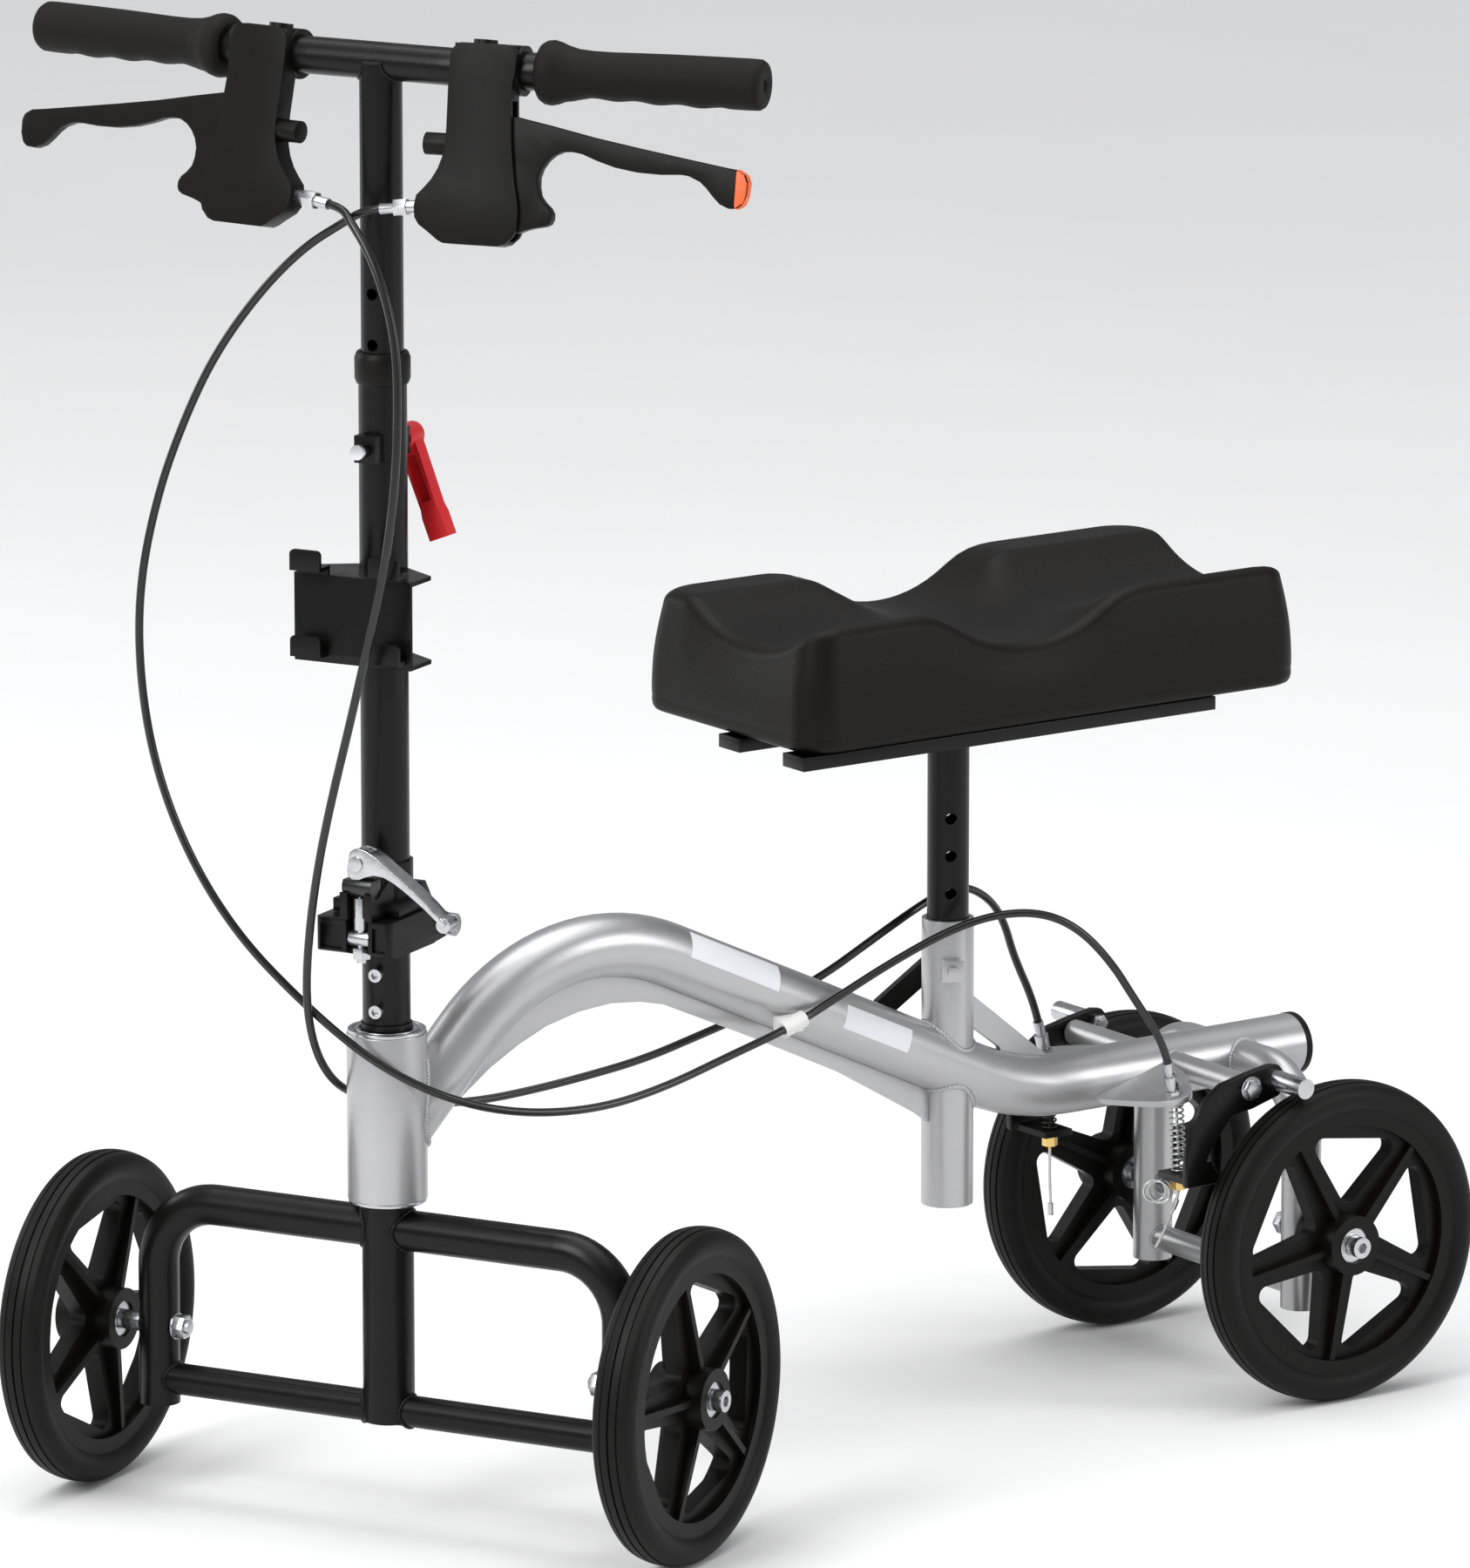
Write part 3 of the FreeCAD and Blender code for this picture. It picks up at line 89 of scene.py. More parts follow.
def on_bar(side, s, v, z, tilt=0.0):
    """A point beside the swept half of the bar: s mm along it, v behind it, at height z."""
    dy, dz = v, z - BAR_Z
    v = dy * math.cos(tilt) + dz * math.sin(tilt)
    z = BAR_Z - dy * math.sin(tilt) + dz * math.cos(tilt)
    left = side * (BAR_STRAIGHT + s * math.cos(BAR_SWEEP) - v * math.sin(BAR_SWEEP))
    rear = s * math.sin(BAR_SWEEP) + v * math.cos(BAR_SWEEP)
    return front(left, rear, z)


# ---- mesh helpers ----
def new_object(name, verts, faces, smooth=True):
    mesh = bpy.data.meshes.new(name)
    mesh.from_pydata([tuple(v) for v in verts], [], faces)
    mesh.validate()
    if smooth:
        mesh.polygons.foreach_set("use_smooth", [True] * len(mesh.polygons))
    obj = bpy.data.objects.new(name, mesh)
    bpy.context.scene.collection.objects.link(obj)
    return obj


def frames_along(path, closed=False):
    """A direction and two side directions at each point of a path, without twist."""
    n = len(path)
    tangents = []
    for i in range(n):
        ahead = path[(i + 1) % n] if closed else path[min(i + 1, n - 1)]
        behind = path[i - 1] if closed or i else path[0]
        tangents.append((ahead - behind).normalized())
    side = tangents[0].orthogonal().normalized()
    result = []
    for i, t in enumerate(tangents):
        side = (side - t * side.dot(t)).normalized()
        result.append((t, side, t.cross(side)))
    return result


def sweep(path, radius, sides=16, closed=False, shape=None):
    """Vertices and faces of a round bar along a path; radius is one number or one a point.
    shape(i, angle) multiplies the radius."""
    radii = radius if hasattr(radius, "__len__") else [radius] * len(path)
    verts, faces = [], []
    for i, (p, (_, a, b)) in enumerate(zip(path, frames_along(path, closed))):
        for k in range(sides):
            angle = math.tau * k / sides
            r = radii[i] * (shape(i, angle) if shape else 1.0)
            verts.append(p + a * (r * math.cos(angle)) + b * (r * math.sin(angle)))
    rings = len(path) if closed else len(path) - 1
    for i in range(rings):
        j = (i + 1) % len(path)
        for k in range(sides):
            m = (k + 1) % sides
            faces.append((i * sides + k, i * sides + m, j * sides + m, j * sides + k))
    if not closed:
        faces.append(tuple(reversed(range(sides))))
        faces.append(tuple(range((len(path) - 1) * sides, len(path) * sides)))
    return verts, faces


def bar(name, path, radius, body, mat, **how):
    obj = new_object(name, *sweep(path, radius, **how))
    obj.data.materials.append(mat)
    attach(obj, body)
    return obj


def merged(name, parts, body, mat):
    """Several (verts, faces) shells as one object."""
    verts, faces = [], []
    for v, f in parts:
        start = len(verts)
        verts.extend(v)
        faces.extend(tuple(i + start for i in face) for face in f)
    obj = new_object(name, verts, faces)
    obj.data.materials.append(mat)
    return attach(obj, body)


def smooth_group(angle):
    """Geometry nodes that shade a mesh smooth except at edges sharper than angle."""
    group = bpy.data.node_groups.new("smooth_by_angle", "GeometryNodeTree")
    group.interface.new_socket("Geometry", in_out="INPUT", socket_type="NodeSocketGeometry")
    group.interface.new_socket("Geometry", in_out="OUTPUT", socket_type="NodeSocketGeometry")
    n, link = group.nodes, group.links.new
    first, last = n.new("NodeGroupInput"), n.new("NodeGroupOutput")
    edge_angle = n.new("GeometryNodeInputMeshEdgeAngle")
    sharp = n.new("FunctionNodeCompare")
    sharp.data_type, sharp.operation = "FLOAT", "GREATER_THAN"
    sharp.inputs["B"].default_value = angle
    faces, edges = n.new("GeometryNodeSetShadeSmooth"), n.new("GeometryNodeSetShadeSmooth")
    faces.domain, edges.domain = "FACE", "EDGE"
    faces.inputs["Shade Smooth"].default_value = True
    edges.inputs["Shade Smooth"].default_value = False
    link(edge_angle.outputs["Unsigned Angle"], sharp.inputs["A"])
    link(first.outputs[0], faces.inputs["Geometry"])
    link(faces.outputs["Geometry"], edges.inputs["Geometry"])
    link(sharp.outputs["Result"], edges.inputs["Selection"])
    link(edges.outputs["Geometry"], last.inputs[0])
    return group


SMOOTH = smooth_group(math.radians(30))


def shade_by_angle(obj):
    obj.modifiers.new("smooth", "NODES").node_group = SMOOTH


def soften(obj, width, segments=3, angle=35.0):
    """Rounds a hard-edged piece's edges by width mm."""
    weld = obj.modifiers.new("weld", "WELD")
    weld.merge_threshold = 2e-6
    bevel = obj.modifiers.new("bevel", "BEVEL")
    bevel.width = width * MM
    bevel.segments = segments
    bevel.limit_method = "ANGLE"
    bevel.angle_limit = math.radians(angle)
    bevel.miter_outer = "MITER_ARC"
    shade_by_angle(obj)


# ---- materials ----
def material(name, colour, roughness, metallic=0.0, spread=0.08, patch=30.0, rough_spread=0.06,
             bump=0.0, grain=900.0, pits=False, coat=0.0, sheen=0.0, specular=0.5, flake=0.0):
    """A finish with uneven colour and roughness in patches of about 1/patch m, and a fine
    surface relief bump mm high with grains of about 1/grain m."""
    mat = bpy.data.materials.new(name)
    mat.use_nodes = True
    tree = mat.node_tree
    n, link = tree.nodes, tree.links.new
    shader = n["Principled BSDF"]
    shader.inputs["Metallic"].default_value = metallic
    shader.inputs["Specular IOR Level"].default_value = specular
    shader.inputs["Coat Weight"].default_value = coat
    shader.inputs["Coat Roughness"].default_value = 0.18
    shader.inputs["Sheen Weight"].default_value = sheen
    shader.inputs["Sheen Roughness"].default_value = 0.5
    where = n.new("ShaderNodeTexCoord").outputs["Object"]

    patches = n.new("ShaderNodeTexNoise")
    patches.inputs["Scale"].default_value = patch
    patches.inputs["Detail"].default_value = 5.0
    patches.inputs["Roughness"].default_value = 0.6
    link(where, patches.inputs["Vector"])
    tint = n.new("ShaderNodeValToRGB")
    tint.color_ramp.elements[0].position = 0.3
    tint.color_ramp.elements[1].position = 0.7
    tint.color_ramp.elements[0].color = [c * (1 - spread) for c in colour] + [1]
    tint.color_ramp.elements[1].color = [min(1.0, c * (1 + spread)) for c in colour] + [1]
    link(patches.outputs["Fac"], tint.inputs["Fac"])
    colour_out = tint.outputs["Color"]
    if flake:
        sparkle = n.new("ShaderNodeTexNoise")
        sparkle.inputs["Scale"].default_value = 4200.0
        sparkle.inputs["Detail"].default_value = 1.0
        link(where, sparkle.inputs["Vector"])
        glitter = n.new("ShaderNodeMapRange")
        glitter.inputs["From Min"].default_value = 0.3
        glitter.inputs["From Max"].default_value = 0.75
        glitter.inputs["To Min"].default_value = 1 - flake
        glitter.inputs["To Max"].default_value = 1 + flake
        link(sparkle.outputs["Fac"], glitter.inputs["Value"])
        mix = n.new("ShaderNodeVectorMath")
        mix.operation = "SCALE"
        link(colour_out, mix.inputs[0])
        link(glitter.outputs["Result"], mix.inputs["Scale"])
        colour_out = mix.outputs["Vector"]
    link(colour_out, shader.inputs["Base Color"])

    rough = n.new("ShaderNodeMapRange")
    rough.inputs["To Min"].default_value = max(0.02, roughness - rough_spread)
    rough.inputs["To Max"].default_value = min(1.0, roughness + rough_spread)
    link(patches.outputs["Fac"], rough.inputs["Value"])
    link(rough.outputs["Result"], shader.inputs["Roughness"])

    if bump:
        if pits:
            fine = n.new("ShaderNodeTexVoronoi")
            height = fine.outputs["Distance"]
        else:
            fine = n.new("ShaderNodeTexNoise")
            fine.inputs["Detail"].default_value = 3.0
            height = fine.outputs["Fac"]
        fine.inputs["Scale"].default_value = grain
        link(where, fine.inputs["Vector"])
        relief = n.new("ShaderNodeBump")
        relief.inputs["Strength"].default_value = 1.0
        relief.inputs["Distance"].default_value = bump * MM
        link(height, relief.inputs["Height"])
        link(relief.outputs["Normal"], shader.inputs["Normal"])
    return mat


MATS = {
    "silver_paint": material("silver_paint", (0.47, 0.47, 0.475), 0.36, metallic=0.7, spread=0.03,
                             bump=0.05, grain=700, coat=0.35, flake=0.10),
    "black_paint": material("black_paint", (0.0035, 0.0032, 0.003), 0.32, spread=0.15, bump=0.07,
                            grain=520, specular=0.2, coat=0.04),
    "zinc": material("zinc", (0.52, 0.53, 0.545), 0.26, metallic=1.0, spread=0.10, patch=160,
                     rough_spread=0.10, bump=0.03, grain=1500),
    "brass": material("brass", (0.80, 0.56, 0.20), 0.28, metallic=1.0, spread=0.10, patch=160,
                      bump=0.03, grain=1500),
    "black_plastic": material("black_plastic", (0.0045, 0.0038, 0.0033), 0.42, spread=0.12, bump=0.07,
                              grain=2600, specular=0.16),
    "white_plastic": material("white_plastic", (0.78, 0.78, 0.76), 0.4, spread=0.03, bump=0.03),
    "red_plastic": material("red_plastic", (0.60, 0.012, 0.016), 0.34, spread=0.06, bump=0.05,
                            grain=1500),
    "tyre": material("tyre", (0.0040, 0.0036, 0.0032), 0.50, spread=0.20, patch=60, bump=0.06,
                     grain=1300, specular=0.18),
    "grip_rubber": material("grip_rubber", (0.0060, 0.0052, 0.0045), 0.62, spread=0.15, bump=0.20,
                            grain=2000, specular=0.16),
    "pad_skin": material("pad_skin", (0.0050, 0.0040, 0.0033), 0.46, spread=0.14, patch=22,
                         rough_spread=0.07, bump=0.12, grain=950, pits=True, specular=0.15),
    "sheath": material("sheath", (0.010, 0.010, 0.010), 0.26, spread=0.1, bump=0.02, grain=1500),
    "orange_mark": material("orange_mark", (0.85, 0.13, 0.03), 0.45, spread=0.08, patch=300,
                            bump=0.1, grain=900),
    "steel_wire": material("steel_wire", (0.62, 0.62, 0.62), 0.3, metallic=1.0, patch=500),
    # painted shade: a darker copy of the spring steel, used for the far brake spring
    "painted_shade_spring": material("painted_shade_spring", (0.06, 0.058, 0.055), 0.35, metallic=0.9, patch=300),
    "label_film": material("label_film", (0.80, 0.82, 0.85), 0.3, spread=0.02, bump=0.01, coat=0.4),
}

SLOTS = {s["node"]: s["material_slot"] for s in frame["record"]["subparts"]}
for node_name, node in NODES.items():
    node.data.materials.clear()
    node.data.materials.append(MATS[SLOTS[node_name]])



def accent(node_name, places, colour, metallic):
    """Gives a piece a second metal or plastic inside one or more balls (centre, radius in mm)."""
    node = NODES[node_name]
    mat = node.data.materials[0].copy()
    mat.name = f"{node_name}_two_tone"
    tree = mat.node_tree
    n, link = tree.nodes, tree.links.new
    shader = n["Principled BSDF"]
    where = n.new("ShaderNodeTexCoord").outputs["Object"]
    mask = None
    for centre, radius in places:
        reach = n.new("ShaderNodeVectorMath")
        reach.operation = "DISTANCE"
        link(where, reach.inputs[0])
        reach.inputs[1].default_value = node.matrix_world.inverted() @ centre
        inside = n.new("ShaderNodeMath")
        inside.operation = "LESS_THAN"
        link(reach.outputs["Value"], inside.inputs[0])
        inside.inputs[1].default_value = radius * MM
        if mask is None:
            mask = inside.outputs[0]
        else:
            either = n.new("ShaderNodeMath")
            either.operation = "MAXIMUM"
            link(mask, either.inputs[0])
            link(inside.outputs[0], either.inputs[1])
            mask = either.outputs[0]
    blend = n.new("ShaderNodeMix")
    blend.data_type = "RGBA"
    link(mask, blend.inputs[0])
    link(shader.inputs["Base Color"].links[0].from_socket, blend.inputs[6])
    blend.inputs[7].default_value = (*colour, 1)
    link(blend.outputs[2], shader.inputs["Base Color"])
    metal = n.new("ShaderNodeMapRange")
    link(mask, metal.inputs["Value"])
    metal.inputs["To Min"].default_value = shader.inputs["Metallic"].default_value
    metal.inputs["To Max"].default_value = metallic
    link(metal.outputs["Result"], shader.inputs["Metallic"])
    node.data.materials.clear()
    node.data.materials.append(mat)


BLACK = (0.01, 0.01, 0.01)
BOLT_STEEL = (0.7, 0.7, 0.72)
BRASS = (0.80, 0.56, 0.20)
for side_name, side in (("left", 1), ("right", -1)):
    node = NODES[f"brake_anchor_{side_name}"]
    node.data.materials.clear()
    node.data.materials.append(MATS["steel_wire"])
    accent(f"brake_anchor_{side_name}", [(at(side * 66, 536, 139.5), 6.1)], BRASS, 1.0)
accent("latch_bolt", [(front(left, -35, 391.5), 6.8) for left in (-5.5, -1.5, 3, 7.5, 11.5)], BLACK, 0.0)
accent("clamp_boss", [(front(0, -30.5, 648), 4.7)], BOLT_STEEL, 1.0)

# rounded edges, in mm, on the pieces that are cut, cast or moulded
EDGE_ROUNDING = {
    "frame_ribs": 0.6, "cable_plate": 0.8, "brake_arm_left": 0.8, "brake_arm_right": 0.8,
    "fold_base": 1.2, "fold_bracket": 0.9, "clamp_boss": 0.8, "basket_bracket": 0.6,
    "clamp_lever": 1.3, "latch_bolt": 0.4, "latch_lever": 0.7, "brake_housings": 1.8,
    "brake_lever_left": 2.2, "brake_lever_right": 2.2, "lock_button_left": 1.0,
    "lock_button_right": 1.0, "seat_clamp_lever": 1.2, "seat_clamp_nut": 0.8, "pad_rails": 0.5,
    "rear_axles": 0.4, "front_axles": 0.4, "brake_pivot_bolts": 0.4, "fork_bolts": 0.4,
    "main_tube_cap": 0.5, "column_collar": 0.6, "cable_adjusters": 0.35, "cable_ferrules": 0.35,
    "cable_clip": 0.4, "brake_pin_left": 0.6, "brake_pin_right": 0.6, "head_tube": 0.5,
    "headset_cups": 0.4, "seat_tube": 0.4,
}
for node_name, node in NODES.items():
    if node_name in EDGE_ROUNDING:
        soften(node, EDGE_ROUNDING[node_name])


# ---- knee pad: a moulded foam pad with four raised corners ----
PAD_LOW, PAD_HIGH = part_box("knee_pad")
PAD_CORNER = 0.022
PAD_TROUGH = 0.020
PAD_DIP = 0.027
PAD_EDGE = 0.010
PAD_DRAFT = 0.0055


def smoothstep(x):
    x = min(1.0, max(0.0, x))
    return x * x * (3 - 2 * x)


def scoop(distance, radius, depth):
    """Depth of a round groove at a distance from its middle line."""
    return max(0.0, math.sqrt(max(0.0, radius ** 2 - distance ** 2)) - (radius - depth))


def pad_top(x, y):
    """How far the pad's top lies below its highest level at a place, in metres."""
    trough = scoop(x + 0.026, 0.106, PAD_TROUGH)
    dip = scoop(y - STEER.y - 0.440, 0.097, PAD_DIP)
    return (trough ** 4 + dip ** 4) ** 0.25


def rounded_rect(half_x, half_y, corner, count):
    """Points round a rectangle with rounded corners, evenly spaced by angle in the corners."""
    points = []
    per = count // 4
    arc = per // 2
    for q in range(4):
        sx, sy = ((1, 1), (-1, 1), (-1, -1), (1, -1))[q]
        cx, cy = sx * (half_x - corner), sy * (half_y - corner)
        for k in range(arc):
            a = math.radians(90 * (q + k / arc))
            points.append((cx + corner * math.cos(a), cy + corner * math.sin(a)))
        a = math.radians(90 * (q + 1))
        start = (cx + corner * math.cos(a), cy + corner * math.sin(a))
        nx, ny = ((-1, 1), (-1, -1), (1, -1), (1, 1))[q]
        end = (nx * (half_x - corner) + corner * math.cos(a), ny * (half_y - corner) + corner * math.sin(a))
        for k in range(per - arc):
            t = k / (per - arc)
            points.append((start[0] + (end[0] - start[0]) * t, start[1] + (end[1] - start[1]) * t))
    return points


def make_pad():
    middle = (PAD_LOW + PAD_HIGH) / 2
    half = (PAD_HIGH - PAD_LOW) / 2
    height = PAD_HIGH.z - PAD_LOW.z
    count = 160
    outline = rounded_rect(half.x, half.y, PAD_CORNER, count)
    rings = []

    def ring(inset, z_of):
        points = []
        for x, y in outline:
            fx, fy = (half.x - inset) / half.x, (half.y - inset) / half.y
            px, py = x * fx, y * fy
            points.append(Vector((middle.x + px, middle.y + py, z_of(middle.x + px, middle.y + py))))
        rings.append(points)

    def flat(z):
        return lambda x, y: z

    low = PAD_LOW.z
    ring(0.012, flat(low))
    ring(0.0045, flat(low + 0.0006))
    ring(0.0022, flat(low + 0.0030))
    ring(0.0020, flat(low + 0.0090))
    ring(0.0024, flat(low + 0.0098))     # the moulding's parting line
    ring(0.0019, flat(low + 0.0108))

    def wall(share):
        return lambda x, y: low + 0.0108 + (height - 0.0108 - PAD_EDGE * 0.9 - pad_top(x, y)) * share

    for share in (0.2, 0.4, 0.6, 0.8, 1.0):
        bulge = 0.0016 * math.sin(math.pi * share)
        ring(0.0019 + PAD_DRAFT * share - bulge, wall(share))
    edge_steps = 7
    for k in range(1, edge_steps + 1):
        a = math.radians(90) * k / edge_steps
        inset = 0.0019 + PAD_DRAFT + PAD_EDGE * (1 - math.cos(a))
        drop = PAD_EDGE * 0.9 * (1 - math.sin(a))
        ring(inset, lambda x, y, d=drop: PAD_HIGH.z - d - pad_top(x, y))
    top_steps = 22
    start = 0.0019 + PAD_DRAFT + PAD_EDGE
    for k in range(1, top_steps):
        share = k / top_steps
        points = []
        for x, y in outline:
            px = x * (half.x - start) / half.x * (1 - share)
            py = y * (half.y - start) / half.y * (1 - share)
            points.append(Vector((middle.x + px, middle.y + py,
                                  PAD_HIGH.z - pad_top(middle.x + px, middle.y + py))))
        rings.append(points)
    verts = [p for points in rings for p in points]
    faces = []
    for i in range(len(rings) - 1):
        for k in range(count):
            m = (k + 1) % count
            faces.append((i * count + k, i * count + m, (i + 1) * count + m, (i + 1) * count + k))
    verts.append(Vector((middle.x, middle.y, low)))
    verts.append(Vector((middle.x, middle.y, PAD_HIGH.z - pad_top(middle.x, middle.y))))
    bottom, top = len(verts) - 2, len(verts) - 1
    last = (len(rings) - 1) * count
    for k in range(count):
        m = (k + 1) % count
        faces.append((bottom, m, k))
        faces.append((top, last + k, last + m))
    pad = new_object("knee_pad_skin", verts, faces)
    pad.data.materials.append(MATS["pad_skin"])
    sub = pad.modifiers.new("sub", "SUBSURF")
    sub.levels = sub.render_levels = 1
    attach(pad, "knee_rest")
    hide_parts("knee_pad")
    return pad


make_pad()


# ---- brake cables: one smooth line each, split where the front end moves ----
CABLE_R = 2.5 * MM
def cable_ends(side):
    """The first two and last two points of a cable, straight out of its ferrule and adjuster."""
    start = [on_bar(side, -36.5, -10.4, 788.6, LEVER_TILT), on_bar(side, -46.4, -10.4, 787.4, LEVER_TILT)]
    return start, [at(side * 66, 522.7, 229.8), at(side * 66, 526.3, 216.3)]


def cable_route(side, points):
    start, end = cable_ends(side)
    return start + [at(*p) for p in points] + end


left_route = cable_route(1, [
    (4, -29.8, 781.5), (-14, -44.5, 766.5), (-35.7, -60.1, 739.9), (-59.9, -74.9, 702.7), (-75.5, -86.3, 665),
    (-90, -98, 616), (-98, -107, 558), (-97, -107, 500), (-88, -101, 446), (-70, -89, 396), (-44, -73, 354),
    (-19.3, -47.8, 318.2), (12.6, -30.1, 292.6), (33, -6, 273), (43, 30, 256), (48, 72, 246), (49, 120, 243),
    (45, 168, 248), (36, 222, 258), (25.5, 273.5, 266), (24.5, 310, 280), (26, 345, 295), (31, 385, 311),
    (39, 416, 319), (48, 444, 318), (56, 466, 306.5), (62, 486, 284), (65, 502.5, 258),
])
right_route = cable_route(-1, [
    (18.5, -34, 785.0), (31, -31.5, 771.5), (42, -29.5, 754), (51, -27.8, 731), (56.5, -27.4, 706),
    (59.8, -29.9, 660.4), (59.4, -33, 622), (54.5, -37.3, 580), (44.4, -42.3, 536.4), (34, -47, 493),
    (20.4, -51.4, 445.4), (8.7, -53.6, 403), (-0.2, -54.3, 361), (-7.1, -52, 320.6), (-13, -42.4, 289.5),
    (-18.3, -27.5, 268), (-28, -6, 254), (-35, 25, 244), (-37, 58, 237), (-36, 90, 234.5), (-34.5, 125, 236),
    (-33, 165, 239.5), (-31.5, 206, 244.5), (-31, 248, 254), (-29, 290, 264.5), (-28, 333, 277.5),
    (-28, 376, 298), (-30.5, 411, 312.5), (-38, 439, 318), (-46, 461, 313), (-53.5, 482, 300),
    (-59, 495.5, 283), (-63.5, 505.5, 261),
])


def spline_line(route):
    """Points along the smooth NURBS line of a route."""
    curve = bpy.data.curves.new("route", "CURVE")
    curve.dimensions = "3D"
    curve.resolution_u = 10
    spline = curve.splines.new("NURBS")
    spline.points.add(len(route) - 1)
    for point, place in zip(spline.points, route):
        point.co = (*place, 1.0)
    spline.order_u = 3
    spline.use_endpoint_u = True
    holder = bpy.data.objects.new("route", curve)
    bpy.context.scene.collection.objects.link(holder)
    bpy.context.view_layer.update()
    mesh = bpy.data.meshes.new_from_object(holder)
    line = [v.co.copy() for v in mesh.vertices]
    bpy.data.objects.remove(holder)
    bpy.data.meshes.remove(mesh)
    return line


BAR_SPAN_END = 0.600        # the cable is split at this height, below the sliding handlebar
FOLD_SPAN_END = 0.345       # and again at this one, at the fold


def make_cable(side_name, route):
    line = spline_line(route)
    first = next(i for i, p in enumerate(line) if p.z < BAR_SPAN_END)
    second = next(i for i, p in enumerate(line) if p.z < FOLD_SPAN_END)
    sides = 12
    verts, _ = sweep(line, CABLE_R, sides)
    spans = [
        ("upper", 0, first, "handlebar_slide", "column", (0, 0, 0.770), (0, 0, BAR_SPAN_END)),
        ("middle", first, second, "column", "fork", (0, 0, BAR_SPAN_END - 0.03),
         (0, 0, FOLD_SPAN_END + 0.005)),
        ("lower", second, len(line) - 1, "fork", "frame", (0, STEER.y - 0.045, FOLD_SPAN_END),
         (0, STEER.y + 0.060, 0.260)),
    ]
    for name, low, high, a, b, start, end in spans:
        part = verts[low * sides:(high + 1) * sides]
        rows = high - low
        faces = []
        for i in range(rows):
            for k in range(sides):
                m = (k + 1) % sides
                faces.append((i * sides + k, i * sides + m, (i + 1) * sides + m, (i + 1) * sides + k))
        if low == 0:
            faces.append(tuple(reversed(range(sides))))
        if high == len(line) - 1:
            faces.append(tuple(range(rows * sides, (rows + 1) * sides)))
        obj = new_object(f"cable_{side_name}_{name}", part, faces)
        obj.data.materials.append(MATS["sheath"])
        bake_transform(obj)
        if name == "upper":
            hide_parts(f"brake_cable_{side_name}")


make_cable("left", left_route)
make_cable("right", right_route)


# ---- brake springs ----
SPRING_WIRE_R = 0.65 * MM


def coil(centre, low, high, radius, turns, wire, steps=20, lean=0.0):
    """A helix of round wire about an upright axis that leans to the rear by lean per metre of
    height, with a closed turn at each end."""
    path = []
    total = int(turns * steps)
    end_share = 1.0 / turns
    for i in range(total + 1):
        share = i / total
        rise = (share - end_share) / (1 - 2 * end_share)
        z = low + wire + (high - low - 2 * wire) * min(1.0, max(0.0, rise))
        a = math.tau * turns * share
        path.append(centre + Vector((radius * math.cos(a), radius * math.sin(a) + (z - low) * lean, z)))
    return sweep(path, wire, 8)


# the rider's right spring, on the far side, is painted darker steel as painted shade; the near one is plain steel
# wire
for side_name, side, look in (("left", 1, "steel_wire"), ("right", -1, "painted_shade_spring")):
    centre = at(side * 66, 535.8, 0)
    spring = merged(f"brake_spring_coil_{side_name}",
                    [coil(centre, 0.1474, 0.1895, 4.2 * MM, 13, SPRING_WIRE_R, lean=-0.062)], "frame",
                    MATS[look])
    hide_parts(f"brake_spring_{side_name}")
    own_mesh(spring)
    wire = bar(f"brake_wire_{side_name}", [centre + UP * 0.1474, at(side * 66, 533.3, 189.4)], 0.8 * MM,
               "frame", MATS["steel_wire"], sides=10)
    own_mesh(wire)


# ---- blank stickers on the main tube ----
def make_film(name, y0, y1, low, high, look):
    """A thin curved sticker on the tube's straight run from y0 to y1, between two angles above the
    rider's left."""
    over = Vector((0, 159.4, 341.3)).normalized()
    verts, faces = [], []
    rows = 14
    for radius in (19.0, 19.25):
        for y in (y0, y1):
            middle = at(0, y, 195 + (460.2 - y) * 0.467)
            for k in range(rows):
                a = math.radians(low + (high - low) * k / (rows - 1))
                outward = Vector((1, 0, 0)) * math.cos(a) + over * math.sin(a)
                verts.append(middle + outward * (radius * MM))
    for k in range(rows - 1):
        inner, outer = (k, k + 1, rows + k + 1, rows + k), (k, rows + k, rows + k + 1, k + 1)
        faces += [inner, tuple(i + 2 * rows for i in outer)]
        for base in (0, rows):
            side = (base + k, base + 2 * rows + k, base + 2 * rows + k + 1, base + k + 1)
            faces.append(side if base == 0 else side[::-1])
    for k in (0, rows - 1):
        end = (k, rows + k, 3 * rows + k, 2 * rows + k)
        faces.append(end if k == 0 else end[::-1])
    film = new_object(name, verts, faces)
    film.data.materials.append(MATS[look])
    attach(film, "frame")
    shade_by_angle(film)


make_film("sticker_front", 204, 268, 8, 62, "label_film")
make_film("sticker_rear", 318, 366, -10, 34, "label_film")


